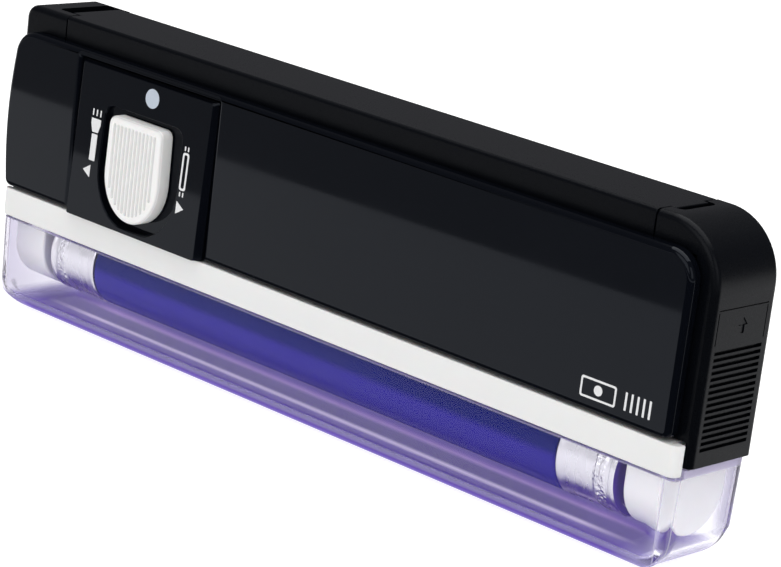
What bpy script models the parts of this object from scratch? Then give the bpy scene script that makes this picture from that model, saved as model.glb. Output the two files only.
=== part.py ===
"""Hand-held counterfeit bill detector: an ultraviolet tube in a clear cover along the lower edge, a torch in
the left end, four AA cells behind a sliding door in the right end, and a three-position slide switch.

The row frame has its origin in the middle of the lowest face. +X runs along the body from the torch to the
battery door, +Y points from the front panel to the back, and +Z points up. Everything is in metres.
"""
import math

import bmesh
import bpy
from mathutils import Vector

MM = 0.001


def mm(*lengths):
    """Lengths given in millimetres, in metres."""
    return tuple(length * MM for length in lengths)


# Body. The front panel stands proud of a ledge, which is the front face of the rear shell and its two ends.
LEFT, RIGHT = mm(-81.8, 81.8)
TOP = 56.0 * MM
SHELL_FOOT = 17.7 * MM
KNOB_FRONT = -10.4 * MM
PANEL_FRONT = -8.0 * MM
LEDGE = -5.4 * MM
BACK = 10.4 * MM
WALL = 1.5 * MM
GAP = 0.3 * MM
FIT = GAP / 2
LEFT_SEAM, RIGHT_SEAM = mm(-70.0, 68.5)
END_CORNER = 10.5 * MM
TORCH_CORNER = 2.5 * MM
LIP_FOOT = 50.9 * MM
RIM_BEVEL = 0.7 * MM
CEILING = 2.0 * MM
TONGUE = 0.85 * MM
TORCH_TONGUE_END, DOOR_TONGUE_END = mm(-72.2, 69.4)
TORCH_TONGUE_Y = mm(-2.3, 9.2)
DOOR_TONGUE_Y = mm(-1.8, 6.3)

# Front panel, seen from the front.
PANEL_LEFT, PANEL_RIGHT = mm(-80.9, 78.8)
PANEL_FOOT, PANEL_TOP = mm(21.8, 51.7)
PANEL_CORNER = 5.0 * MM
PANEL_FOOT_CORNER = 1.5 * MM
PANEL_BOW = 0.9 * MM
PANEL_THICK = 1.6 * MM
PANEL_SIDE = 1.4 * MM
PANEL_RIM = 0.6 * MM
PANEL_SKIRT_END = LEDGE - GAP

# Switch plate, its D-shaped pocket, and the knob.
PLATE_LEFT, PLATE_RIGHT = mm(-62.3, -26.3)
PLATE_TOP = 50.3 * MM
PLATE_FOOT_FRONT = PANEL_FRONT - 1.2 * MM
PLATE_TOP_FRONT = PANEL_FRONT - 0.35 * MM
PLATE_BACK = -6.2 * MM
PLATE_BEVEL = 0.9 * MM
POCKET_FLOOR = -7.4 * MM
POCKET_CLEARANCE = 0.7 * MM
SLOT_HALF = 4.0 * MM
SLOT_Z = mm(30.6, 35.4)
KNOB_X, KNOB_Z = mm(-43.9, 33.0)
KNOB_TRAVEL = 2.2 * MM
KNOB_BASE = POCKET_FLOOR - GAP
KNOB_HALF = 7.2 * MM
KNOB_TAPER = 0.96
KNOB_FOOT, KNOB_WAIST, KNOB_TOP = mm(24.1, 32.5, 42.6)
KNOB_CORNER = 1.5 * MM
KNOB_RIM = 0.5 * MM
KNOB_GROOVES = 12
GROOVE_PITCH, GROOVE_WIDTH, GROOVE_DEPTH = mm(1.0, 0.44, 0.3)
GROOVE_TOP = 41.4 * MM
GROOVE_MARGIN = 0.4 * MM
STEM_HALF = 1.6 * MM
STEM_Z = mm(31.0, 35.0)
SLIDER_HALF, SLIDER_THICK = mm(8.8, 0.7)
SLIDER_Z = mm(28.0, 38.0)
SWITCH_HALF, SWITCH_FRONT = mm(9.0, -4.3)
SWITCH_Z = mm(29.0, 37.0)
OPENING_HALF = 5.6 * MM
OPENING_Y = mm(-5.3, -1.3)
OPENING_Z = mm(31.3, 34.7)
LEVER_HALF = 1.2 * MM
LEVER_Y = mm(-4.9, -1.7)
LEVER_Z = mm(31.8, 34.2)

# Lamp: a 4 W tube, 16 mm across and 136 mm between the faces of its caps.
LAMP_X, LAMP_Y, LAMP_Z = mm(0.8, 1.2, 12.35)
LAMP_HALF = 68.0 * MM
GLASS_HALF = 55.7 * MM
GLASS_RADIUS = 7.6 * MM
GLASS_WALL = 0.7 * MM
CAP_RADIUS = 7.75 * MM
CAP_WALL = 0.5 * MM
CAP_BEVEL = 0.8 * MM
CAP_END = 1.4 * MM
PIN_RADIUS = 1.15 * MM
PIN_SPACING = 4.8 * MM
PIN_TIP = 6.6 * MM
HOLDER_GAP = 1.9 * MM
HOLDER_ENDS = {"left": (-77.2 * MM, -1), "right": (78.3 * MM, 1)}
HOLDER_SHOULDER = 17.6 * MM
HOLDER_NECK_BACK = 6.3 * MM
SOCKET_RADIUS, SOCKET_DEPTH, SOCKET_SLOT = mm(4.0, 5.2, 3.0)
SOCKET_SLOT_FOOT = 3.0 * MM
REFLECTOR_INNER, REFLECTOR_OUTER = mm(7.9, 8.15)
REFLECTOR_START, REFLECTOR_END = 40, 140
REFLECTOR_HALF = GLASS_HALF - MM

# White tray: a strip along the front that turns the right-hand corner, and a deck over the lamp.
STRIP_LEFT, STRIP_RIGHT = mm(-80.4, 80.8)
STRIP_FOOT, STRIP_TOP = mm(16.3, 21.5)
STRIP_THICK = 1.4 * MM
RETURN_LEFT = PANEL_RIGHT + 0.35 * MM
RETURN_BACK = -5.8 * MM
STRIP_LEFT_CORNER, STRIP_RIGHT_CORNER = mm(1.0, 1.5)
DECK_X = mm(-79.3, 78.7)
DECK_FOOT = 20.7 * MM
DECK_BACK = 8.5 * MM
SKIRT_FRONT, SKIRT_FOOT = mm(7.5, 17.9)
SKIRT_OVERLAP = 0.4 * MM
LEAD_NOTCHES = (mm(-72.2, -67.6), mm(71.2, 73.8))
LEAD_NOTCH_FRONT = 6.6 * MM

# Clear cover: its end view and its front view.
COVER_FRONT, COVER_BACK = mm(-8.1, 10.3)
COVER_TOP = 17.4 * MM
COVER_WALL = 1.0 * MM
COVER_FLOOR = 1.2 * MM
COVER_FRONT_CORNER, COVER_BACK_CORNER = mm(2.0, 6.0)
COVER_LEFT_CORNER, COVER_RIGHT_CORNER = mm(9.0, 6.0)
COVER_TOP_X = mm(-80.2, 81.2)
COVER_FOOT_X = mm(-79.5, 80.7)
COVER_CUT_BACK = -5.5 * MM

# AA cells in two rows of two, their cradle and contacts.
CELL_RADIUS, CELL_LENGTH = mm(7.15, 50.5)
CELL_EDGE = 0.5 * MM
CELL_NUB, CELL_NUB_RADIUS = mm(1.2, 2.7)
CELL_START, CELL_Y = mm(-25.0, 1.2)
LOWER_ROW, UPPER_ROW = mm(29.9, 45.0)
CRADLE_WALL_X = mm(-30.6, -29.4)
CRADLE_WALL_Y = mm(-5.2, 6.5)
CRADLE_FOOT, CRADLE_TOP, CRADLE_RAIL_TOP = mm(21.85, 50.2, 22.4)
RAIL_X = mm(-30.0, 76.0)
RAIL_Y = mm(-3.4, 5.8)
CRADLE_SPRING_X = mm(-28.7, -25.7)
CRADLE_SPRING_RADII = mm(3.4, 2.4)
LEAF_TIP = -25.7 * MM
LEAF_Y = mm(-3.8, -2.6, -0.2, 2.6, 5.0, 6.2)
LEAF_Z = mm(41.5, 48.5)
LEAF_THICK = 0.4 * MM

# Battery door: grip grooves, thumbnail scoop and contacts.
DOOR_FRONT_CUT = 77.2 * MM
DOOR_SCOOP_END = 70.9 * MM
DOOR_SCOOP_Y = mm(-2.2, 6.7)
SCOOP_FLOOR = 54.9 * MM
SCOOP_CORNER = 1.0 * MM
GRIP_COUNT = 16
GRIP_START, GRIP_PITCH, GRIP_HEIGHT, GRIP_DEPTH = mm(20.3, 1.04, 0.55, 0.45)
GRIP_Y = mm(-3.6, 8.4)
DOOR_PLATE_X = mm(79.6, 79.9)
DOOR_PLATE_Y = mm(-3.4, 5.8)
DOOR_PLATE_Z = mm(24.0, 46.2)
DIMPLE_TIP, DIMPLE_ROOT = mm(76.7, 79.8)
DIMPLE_TIP_RADIUS, DIMPLE_ROOT_RADIUS = mm(1.8, 3.0)
DOOR_SPRING_X = mm(79.0, 77.0)
DOOR_SPRING_RADII = mm(2.9, 2.4)
DOOR_SPRING_TURNS = 2.5

# Torch in the left end.
TORCH_END = -81.6 * MM
TORCH_Y, TORCH_Z = mm(2.5, 38.0)
TORCH_SCOOP_END = -75.7 * MM
TORCH_SCOOP_Y = mm(-2.7, 9.6)
TORCH_FLOOR_TOP = 23.0 * MM
TORCH_FLOOR_INSET = 0.5 * MM
TORCH_MOUTH = 5.6 * MM
LENS_RADIUS = 5.3 * MM
LENS_CROWN = mm(0.1, 0.25, 0.6)
LENS_CROWN_RADIUS = 3.4 * MM
REFLECTOR_REAR = -73.0 * MM
REFLECTOR_THROAT, REFLECTOR_FLARE, REFLECTOR_WALL = mm(3.0, 2.7, 0.4)
BULB_FRONT, BULB_BASE = mm(-77.2, -70.0)
BULB_RADIUS, BULB_FLANGE = mm(2.5, 2.8)
BULB_HOLDER_RADIUS, BULB_HOLDER_END = mm(4.0, -66.6)

# Circuit board and its parts, which stand off its rear face.
BOARD_X = mm(-62.5, -31.6)
BOARD_Z = mm(23.6, 50.0)
BOARD_FRONT, BOARD_BACK = mm(1.3, 2.9)
BOARD_HOLES = (mm(-60.8, 48.3), mm(-33.4, 25.4))
BOARD_HOLE_RADIUS = 1.0 * MM
PARTS_FRONT = BOARD_BACK + GAP
CORE_X, CORE_Z, CORE_BACK = mm(-47.0, -34.0), mm(29.2, 41.6), 8.4 * MM
WINDOW_X, WINDOW_Z = mm(-44.2, -36.8), mm(31.6, 39.2)
WINDING_X, WINDING_Z, WINDING_BACK = mm(-43.8, -37.2), mm(32.0, 38.8), 7.9 * MM
TRANSISTOR_X, TRANSISTOR_Z, TRANSISTOR_BACK = mm(-57.5, -49.8), mm(40.5, 48.0), 6.0 * MM
FILM_X, FILM_Z, FILM_BACK = mm(-58.0, -51.0), mm(25.2, 29.4), 7.6 * MM
CAN_X, CAN_Z, CAN_RADIUS, CAN_EDGE = mm(-58.5, -50.5), 34.5 * MM, 2.5 * MM, 0.3 * MM
RESISTOR_X, RESISTOR_Z, RESISTOR_RADIUS, RESISTOR_EDGE = mm(-43.0, -37.0), 45.6 * MM, 1.1 * MM, 0.8 * MM

# Lamp leads, as (x, y, z) points in millimetres.
LEAD_RADIUS = 0.5 * MM
LEFT_LEAD = [(-57, 8.0, 23.6), (-61, 7.8, 22.8), (-67, 7.6, 22.5), (-70.2, 7.4, 20.9), (-71.2, 7.4, 18.6)]
RIGHT_LEAD = [
    (-38, 7.6, 26),
    (-33, 7.7, 24.2),
    (-27, 7.7, 23.5),
    (0, 7.7, 23.4),
    (40, 7.7, 23.4),
    (66, 7.7, 23.4),
    (71, 7.7, 22.6),
    (72.6, 7.4, 20.8),
    (72.8, 7.4, 18.6),
]

# Screws through the rear shell into towers on the front panel.
SCREW_X = -65.6 * MM
SCREW_HEIGHTS = {"upper": 47.6 * MM, "lower": 27.2 * MM}
SCREW_BORE = 1.2 * MM
TOWER_RADIUS, TOWER_END = mm(2.5, 6.7)
SEAT_TOWER_RADIUS, SEAT_TOWER_FRONT = mm(3.4, 7.0)
COUNTERSINK_RADIUS, COUNTERSINK_DEPTH = mm(2.3, 1.1)
HEAD_RADIUS, HEAD_CHAMFER = mm(2.0, 0.25)
HEAD_FACE, HEAD_SEAT = BACK - 0.1 * MM, BACK - 0.8 * MM
SHANK_RADIUS = 0.9 * MM
SHANK_END, SCREW_TIP = mm(0.6, -0.6)
RECESS_ARM, RECESS_HALF, RECESS_DEPTH = mm(1.2, 0.22, 0.4)

COLOURS = {
    "gloss_black": ((0.012, 0.013, 0.016), 0.12, 0.0),
    "satin_black": ((0.018, 0.019, 0.021), 0.38, 0.0),
    "white_plastic": ((0.82, 0.82, 0.80), 0.45, 0.0),
    "clear_plastic": ((0.80, 0.78, 0.90), 0.05, 0.0),
    "violet_glass": ((0.055, 0.045, 0.32), 0.08, 0.0),
    "bright_metal": ((0.78, 0.78, 0.80), 0.22, 1.0),
    "brass": ((0.72, 0.53, 0.22), 0.28, 1.0),
    "board_green": ((0.03, 0.16, 0.07), 0.50, 0.0),
    "dark_part": ((0.05, 0.05, 0.055), 0.45, 0.0),
    "copper": ((0.60, 0.24, 0.10), 0.40, 1.0),
    "amber_part": ((0.55, 0.20, 0.03), 0.35, 0.0),
    "cell_jacket": ((0.10, 0.11, 0.13), 0.30, 0.6),
    "red_wire": ((0.45, 0.03, 0.02), 0.45, 0.0),
}


def clear_scene():
    for old in list(bpy.data.objects):
        bpy.data.objects.remove(old, do_unlink=True)


def make_materials():
    made = {}
    for name, (colour, roughness, metallic) in COLOURS.items():
        material = bpy.data.materials.new(name)
        material.use_nodes = True
        shader = material.node_tree.nodes["Principled BSDF"]
        shader.inputs["Base Color"].default_value = (*colour, 1.0)
        shader.inputs["Roughness"].default_value = roughness
        shader.inputs["Metallic"].default_value = metallic
        made[name] = material
    return made


def place(name, bm, finish, origin=(0.0, 0.0, 0.0)):
    """Turns a bmesh in row coordinates into an object whose origin is at the given point."""
    bmesh.ops.recalc_face_normals(bm, faces=bm.faces)
    bmesh.ops.translate(bm, verts=bm.verts, vec=-Vector(origin))
    mesh = bpy.data.meshes.new(name)
    bm.to_mesh(mesh)
    bm.free()
    mesh.materials.append(MATERIALS[finish])
    obj = bpy.data.objects.new(name, mesh)
    obj.location = origin
    bpy.context.scene.collection.objects.link(obj)
    return obj


def round_corners(corners, steps=5):
    """A closed outline from (u, v, radius) corners, each with an arc of that radius."""
    outline = []
    for index, (u, v, radius) in enumerate(corners):
        corner = Vector((u, v))
        before = Vector(corners[index - 1][:2]) - corner
        after = Vector(corners[(index + 1) % len(corners)][:2]) - corner
        if radius == 0:
            outline.append((u, v))
            continue
        half = before.angle(after) / 2
        middle = corner + (before.normalized() + after.normalized()).normalized() * (radius / math.sin(half))
        reach = radius / math.tan(half)
        first = corner + before.normalized() * reach - middle
        last = corner + after.normalized() * reach - middle
        turn = first.angle_signed(last)
        for step in range(steps + 1):
            angle = -turn * step / steps
            c, s = math.cos(angle), math.sin(angle)
            outline.append((middle.x + c * first.x - s * first.y, middle.y + s * first.x + c * first.y))
    return outline


def bowed_edge(start, end, rise, steps):
    """Points between start and end on a shallow arc that rises to its left by the given amount."""
    start, end = Vector(start), Vector(end)
    across = Vector((-(end - start).y, (end - start).x)).normalized()
    points = []
    for step in range(1, steps):
        t = step / steps
        point = start.lerp(end, t) + across * rise * 4 * t * (1 - t)
        points.append((point.x, point.y, 0.0))
    return points


def arc(centre_u, centre_v, radius, start, end, steps):
    """Points on an arc, with its start and end in degrees."""
    angles = [math.radians(start + (end - start) * step / steps) for step in range(steps + 1)]
    return [(centre_u + radius * math.cos(a), centre_v + radius * math.sin(a)) for a in angles]


def strip(path, thickness):
    """The outline of a bent strip: the path, and the path moved across by the thickness."""
    far_side = [(u + thickness, v) for u, v in reversed(path)]
    return list(path) + far_side


AXES = {"X": lambda u, v, w: (w, u, v), "Y": lambda u, v, w: (u, w, v), "Z": lambda u, v, w: (u, v, w)}


def extruded(outline, axis, low, high, soften=0.0, keep_sharp=None):
    """A prism along an axis. Its rims are bevelled by soften, apart from edges that keep_sharp picks."""
    bm = bmesh.new()
    to_point = AXES[axis]
    ends = []
    for level in (low, high):
        ring = [bm.verts.new(to_point(u, v, level)) for u, v in outline]
        ends.append(ring)
        bm.faces.new(ring)
    count = len(outline)
    for index in range(count):
        after = (index + 1) % count
        bm.faces.new((ends[0][index], ends[0][after], ends[1][after], ends[1][index]))
    bmesh.ops.recalc_face_normals(bm, faces=bm.faces)
    if soften:
        direction = Vector(to_point(0, 0, 1))
        rims = []
        for edge in bm.edges:
            a, b = (vert.co for vert in edge.verts)
            along = abs((b - a).normalized().dot(direction)) > 0.5
            if not along and not (keep_sharp and keep_sharp(a, b)):
                rims.append(edge)
        bmesh.ops.bevel(bm, geom=rims, offset=soften, segments=2, profile=0.5, affect="EDGES")
    return bm


def box(x, y, z):
    outline = [(x[0], z[0]), (x[1], z[0]), (x[1], z[1]), (x[0], z[1])]
    return extruded(outline, "Y", y[0], y[1])


def boxes(spans):
    """One bmesh that holds several separate boxes."""
    joined = bmesh.new()
    for x, y, z in spans:
        mesh = bpy.data.meshes.new("box")
        one = box(x, y, z)
        one.to_mesh(mesh)
        one.free()
        joined.from_mesh(mesh)
        bpy.data.meshes.remove(mesh)
    return joined


def turned(profile, centre, axis="X", steps=32, ring=False):
    """Spins a profile of (radius, along) points. A ring profile is closed and stays off the axis."""
    bm = bmesh.new()
    to_point = AXES[axis]
    middle = Vector(centre)
    verts = []
    for radius, along in profile:
        verts.append(bm.verts.new(middle + Vector(to_point(radius, 0, 0)) + Vector(to_point(0, 0, along))))
    edges = [bm.edges.new(pair) for pair in zip(verts, verts[1:])]
    if ring:
        edges.append(bm.edges.new((verts[-1], verts[0])))
    bmesh.ops.spin(
        bm,
        geom=verts + edges,
        cent=middle,
        axis=Vector(to_point(0, 0, 1)),
        dvec=(0, 0, 0),
        angle=2 * math.pi,
        steps=steps,
        use_merge=True,
        use_duplicate=False,
    )
    bmesh.ops.remove_doubles(bm, verts=bm.verts, dist=1e-7)
    return bm


def cylinder(centre, axis, radius, low, high, steps=24):
    return turned([(0, low), (radius, low), (radius, high), (0, high)], centre, axis, steps)


def coil(centre_y, centre_z, start, end, start_radius, end_radius, turns=3.5, wire=0.35 * MM, sides=6):
    """A spring wound about an X axis, as one tube with flat ends."""
    bm = bmesh.new()
    count = int(turns * 12)
    rings = []
    for step in range(count + 1):
        t = step / count
        angle = 2 * math.pi * turns * t
        radius = start_radius + (end_radius - start_radius) * t
        along = start + (end - start) * t
        out = Vector((0, math.cos(angle), math.sin(angle)))
        ring = []
        for side in range(sides):
            a = 2 * math.pi * side / sides
            offset = out * (radius + wire * math.cos(a)) + Vector((wire * math.sin(a), 0, 0))
            ring.append(bm.verts.new(Vector((along, centre_y, centre_z)) + offset))
        rings.append(ring)
    for one, two in zip(rings, rings[1:]):
        for side in range(sides):
            after = (side + 1) % sides
            bm.faces.new((one[side], one[after], two[after], two[side]))
    bm.faces.new(rings[0])
    bm.faces.new(rings[-1])
    return bm


def helper(target, bm, operation):
    """Cuts a shape from a piece, or joins one to it. The shape stays as a hidden helper."""
    count = sum(1 for modifier in target.modifiers if modifier.type == "BOOLEAN") + 1
    shape = place(f"{target.name}_{operation.lower()}_{count}", bm, "dark_part")
    shape.hide_render = True
    shape.display_type = "WIRE"
    modifier = target.modifiers.new(f"{operation.title()} {count}", "BOOLEAN")
    modifier.operation = operation
    modifier.solver = "EXACT"
    modifier.object = shape
    return target


def cut(target, bm):
    return helper(target, bm, "DIFFERENCE")


def join(target, bm):
    return helper(target, bm, "UNION")


def smooth_all():
    for obj in bpy.data.objects:
        if obj.type == "MESH":
            obj.data.shade_smooth()
            obj.data.set_sharp_from_angle(angle=math.radians(35))


def panel_outline(inset=0.0):
    """The front panel from the front: square at its foot, round at its top, with a bowed left edge."""
    left, right = PANEL_LEFT + inset, PANEL_RIGHT - inset
    foot, top = PANEL_FOOT + inset, PANEL_TOP - inset
    radius = PANEL_CORNER - inset
    foot_radius = PANEL_FOOT_CORNER if inset == 0 else 0.0
    bow = bowed_edge((left, top - radius), (left, foot + 2 * MM), -PANEL_BOW, 8)
    corners = [(left, foot, foot_radius), (right, foot, foot_radius), (right, top, radius), (left, top, radius)]
    return round_corners(corners + bow)


def front_soft_prism(outline, front, rear, soften):
    """A prism along Y whose front rim alone is bevelled."""
    return extruded(outline, "Y", front, rear, soften, lambda a, b: max(a.y, b.y) > front + 1e-6)


def make_front_housing():
    rim = PANEL_SKIRT_END
    housing = place("front_housing", front_soft_prism(panel_outline(), PANEL_FRONT, rim, PANEL_RIM), "gloss_black")
    inner_face = PANEL_FRONT + PANEL_THICK
    cut(housing, extruded(panel_outline(PANEL_SIDE), "Y", inner_face, rim + MM))
    notch_x = (PLATE_LEFT - FIT, PLATE_RIGHT + FIT)
    cut(housing, box(notch_x, (PANEL_FRONT - MM, rim + MM), (PANEL_FOOT - MM, PLATE_TOP + FIT)))
    for height in SCREW_HEIGHTS.values():
        centre = (SCREW_X, 0, height)
        join(housing, cylinder(centre, "Y", TOWER_RADIUS, inner_face - GAP, TOWER_END))
        cut(housing, cylinder(centre, "Y", SCREW_BORE, inner_face + 4 * MM, TOWER_END + MM, 16))


def knob_outline(grow=0.0):
    """A tombstone, flat side up: straight sides, and a foot of half an ellipse."""
    half = KNOB_HALF + grow
    top = KNOB_TOP + grow
    foot = KNOB_FOOT - grow
    upper = round_corners(
        [
            (KNOB_X + half, KNOB_WAIST, 0),
            (KNOB_X + half * KNOB_TAPER, top, KNOB_CORNER),
            (KNOB_X - half * KNOB_TAPER, top, KNOB_CORNER),
            (KNOB_X - half, KNOB_WAIST, 0),
        ]
    )
    lower = arc(0, 0, 1, 180, 360, 14)[1:-1]
    return upper + [(KNOB_X + half * u, KNOB_WAIST + (KNOB_WAIST - foot) * v) for u, v in lower]


def pocket_outline():
    """The knob's outline with clearance, widened by its travel both ways."""
    points = []
    for u, v in knob_outline(POCKET_CLEARANCE):
        points.append((u + KNOB_TRAVEL * (1 if u > KNOB_X else -1), v))
    return points


def about_knob(half):
    return (KNOB_X - half, KNOB_X + half)


def make_switch_plate():
    foot = PANEL_FOOT - FIT
    side = [(PLATE_BACK, foot), (PLATE_FOOT_FRONT, foot), (PLATE_TOP_FRONT, PLATE_TOP), (PLATE_BACK, PLATE_TOP)]
    body = extruded(side, "X", PLATE_LEFT, PLATE_RIGHT)
    front_edges = []
    for edge in body.edges:
        a, b = (vert.co for vert in edge.verts)
        if max(a.y, b.y) < PLATE_TOP_FRONT + 1e-6 and abs(a.x - b.x) < 1e-6:
            front_edges.append(edge)
    bmesh.ops.bevel(body, geom=front_edges, offset=PLATE_BEVEL, segments=3, profile=0.5, affect="EDGES")
    plate = place("switch_plate", body, "gloss_black")
    cut(plate, extruded(pocket_outline(), "Y", PLATE_FOOT_FRONT - MM, POCKET_FLOOR))
    cut(plate, box(about_knob(SLOT_HALF), (POCKET_FLOOR - MM, PLATE_BACK + MM), SLOT_Z))


def make_knob():
    origin = (KNOB_X, KNOB_BASE, KNOB_Z)
    body = front_soft_prism(knob_outline(), KNOB_FRONT, KNOB_BASE, KNOB_RIM)
    knob = place("switch_knob", body, "white_plastic", origin)
    grooves = []
    for index in range(KNOB_GROOVES):
        shift = (index - (KNOB_GROOVES - 1) / 2) * GROOVE_PITCH
        foot = KNOB_WAIST - KNOB_HALF * math.sqrt(1 - (shift / KNOB_HALF) ** 2) + GROOVE_MARGIN
        across = (KNOB_X + shift - GROOVE_WIDTH / 2, KNOB_X + shift + GROOVE_WIDTH / 2)
        grooves.append((across, (KNOB_FRONT - MM, KNOB_FRONT + GROOVE_DEPTH), (foot, GROOVE_TOP)))
    cut(knob, boxes(grooves))
    join(knob, box(about_knob(STEM_HALF), (KNOB_BASE - MM / 2, PLATE_BACK), STEM_Z))

    left, right = about_knob(SLIDER_HALF)
    foot, top = SLIDER_Z
    corners = [(left, foot, MM), (right, foot, MM), (right, top, MM), (left, top, MM)]
    front = PLATE_BACK + GAP
    slider = extruded(round_corners(corners), "Y", front, front + SLIDER_THICK)
    place("knob_slider_plate", slider, "dark_part", origin)
    place("switch_actuator", box(about_knob(LEVER_HALF), LEVER_Y, LEVER_Z), "dark_part", origin)


def make_switch_body():
    body = box(about_knob(SWITCH_HALF), (SWITCH_FRONT, BOARD_FRONT - GAP), SWITCH_Z)
    switch = place("switch_body", body, "bright_metal")
    cut(switch, box(about_knob(OPENING_HALF), OPENING_Y, OPENING_Z))


def make_rear_shell():
    left, right = LEFT_SEAM + FIT, RIGHT_SEAM - FIT
    profile = round_corners(
        [
            (BACK, SHELL_FOOT, 0),
            (BACK, TOP, 1.2 * MM),
            (LEDGE, TOP, RIM_BEVEL),
            (LEDGE, LIP_FOOT, 0),
            (LEDGE + WALL, LIP_FOOT, 0),
            (LEDGE + WALL, TOP - WALL, 0),
            (BACK - WALL, TOP - WALL, 0),
            (BACK - WALL, SHELL_FOOT, 0),
        ],
        steps=4,
    )
    shell = place("rear_shell", extruded(profile, "X", left, right), "satin_black")
    join(shell, box((TORCH_TONGUE_END, left + MM), TORCH_TONGUE_Y, (TOP - TONGUE, TOP)))
    join(shell, box((right - MM, DOOR_TONGUE_END), DOOR_TONGUE_Y, (TOP - TONGUE, TOP)))
    for height in SCREW_HEIGHTS.values():
        centre = (SCREW_X, 0, height)
        join(shell, cylinder(centre, "Y", SEAT_TOWER_RADIUS, SEAT_TOWER_FRONT, BACK - MM))
        cut(shell, cylinder(centre, "Y", SCREW_BORE, SEAT_TOWER_FRONT - MM, BACK + MM, 16))
        cut(shell, cylinder(centre, "Y", COUNTERSINK_RADIUS, BACK - COUNTERSINK_DEPTH, BACK + MM))


def end_cap(name, corner, seam, end, origin):
    """A cap over one end of the body: front, back, top and end walls, open below and towards the middle."""
    side = 1 if end > seam else -1
    outline = round_corners(
        [(seam, SHELL_FOOT, 0), (end, SHELL_FOOT, 0), (end, TOP, corner), (seam, TOP, 0)], steps=8
    )

    def at_an_opening(a, b):
        return min(side * a.x, side * b.x) < side * seam + 1e-5 or max(a.z, b.z) < SHELL_FOOT + 1e-5

    cap = place(name, extruded(outline, "Y", LEDGE, BACK, RIM_BEVEL, at_an_opening), "satin_black", origin)
    inner_end = end - side * WALL
    inner_top = TOP - CEILING
    cavity = round_corners(
        [
            (seam - side * MM, SHELL_FOOT - MM, 0),
            (inner_end, SHELL_FOOT - MM, 0),
            (inner_end, inner_top, max(corner - WALL, MM)),
            (seam - side * MM, inner_top, 0),
        ],
        steps=8,
    )
    cut(cap, extruded(cavity, "Y", LEDGE + WALL, BACK - WALL))
    front_x = sorted((seam - side * MM, inner_end))
    cut(cap, box(front_x, (LEDGE - MM, LEDGE + WALL + FIT), (SHELL_FOOT - MM, PANEL_FOOT)))
    return cap


def scoop(x_seam, x_far, y):
    """A shallow thumbnail recess in an end's top, next to its seam."""
    outline = round_corners(
        [(x_seam, y[0], 0), (x_far, y[0], SCOOP_CORNER), (x_far, y[1], SCOOP_CORNER), (x_seam, y[1], 0)]
    )
    return extruded(outline, "Z", SCOOP_FLOOR, TOP + MM)


def make_battery_door():
    seam = RIGHT_SEAM + FIT
    origin = (RIGHT_SEAM, 0, SHELL_FOOT)
    door = end_cap("battery_door", END_CORNER, seam, RIGHT, origin)
    cut(door, box((seam - MM, DOOR_FRONT_CUT), (LEDGE - MM, LEDGE + WALL + FIT), (PANEL_FOOT - MM, LIP_FOOT)))
    cut(door, scoop(seam - MM, DOOR_SCOOP_END, DOOR_SCOOP_Y))
    grooves = []
    for index in range(GRIP_COUNT):
        foot = GRIP_START + index * GRIP_PITCH
        grooves.append(((RIGHT - GRIP_DEPTH, RIGHT + MM), GRIP_Y, (foot, foot + GRIP_HEIGHT)))
    cut(door, boxes(grooves))
    plate = place("door_contact_plate", box(DOOR_PLATE_X, DOOR_PLATE_Y, DOOR_PLATE_Z), "bright_metal", origin)
    dimple = [(0, DIMPLE_TIP), (DIMPLE_TIP_RADIUS, DIMPLE_TIP), (DIMPLE_ROOT_RADIUS, DIMPLE_ROOT), (0, DIMPLE_ROOT)]
    join(plate, turned(dimple, (0, CELL_Y, LOWER_ROW), "X", 16))
    spring = coil(CELL_Y, UPPER_ROW, *DOOR_SPRING_X, *DOOR_SPRING_RADII, DOOR_SPRING_TURNS)
    place("door_contact_spring", spring, "bright_metal", origin)


def make_torch_cap():
    seam = LEFT_SEAM - FIT
    origin = (LEFT_SEAM, TORCH_Y, TORCH_Z)
    axis = (0, TORCH_Y, TORCH_Z)
    cap = end_cap("torch_cap", TORCH_CORNER, seam, TORCH_END, origin)
    cut(cap, scoop(seam + MM, TORCH_SCOOP_END, TORCH_SCOOP_Y))
    inner_end = TORCH_END + WALL
    floor_x = (inner_end - TORCH_FLOOR_INSET, seam)
    floor_y = (LEDGE + TORCH_FLOOR_INSET, BACK - TORCH_FLOOR_INSET)
    join(cap, box(floor_x, floor_y, (PANEL_FOOT, TORCH_FLOOR_TOP)))
    cut(cap, cylinder(axis, "X", TORCH_MOUTH, TORCH_END - MM, inner_end + MM, 32))

    centre, crown, edge = (TORCH_END + inset for inset in LENS_CROWN)
    lens_back = inner_end - 0.1 * MM
    lens = [(0, centre), (LENS_CROWN_RADIUS, crown), (LENS_RADIUS, edge), (LENS_RADIUS, lens_back), (0, lens_back)]
    place("torch_lens", turned(lens, axis), "clear_plastic", origin)

    front = inner_end + GAP
    steps = 6
    inner = []
    for step in range(steps + 1):
        t = step / steps
        radius = REFLECTOR_THROAT + REFLECTOR_FLARE * math.sqrt(t)
        inner.append((radius, REFLECTOR_REAR + (front - REFLECTOR_REAR) * t))
    place("torch_reflector", turned(strip(inner, REFLECTOR_WALL), axis, ring=True), "bright_metal", origin)


def make_torch_bulb():
    axis = (0, TORCH_Y, TORCH_Z)
    dome = [(r, BULB_FRONT + BULB_RADIUS + x) for x, r in arc(0, 0, BULB_RADIUS, 180, 90, 5)]
    flange = BULB_BASE - MM
    foot = [(BULB_RADIUS, flange), (BULB_FLANGE, flange), (BULB_FLANGE, BULB_BASE), (0, BULB_BASE)]
    place("torch_bulb", turned(dome + foot, axis, steps=20), "clear_plastic")
    holder = cylinder(axis, "X", BULB_HOLDER_RADIUS, BULB_BASE + GAP, BULB_HOLDER_END)
    place("torch_bulb_holder", holder, "dark_part")


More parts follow.
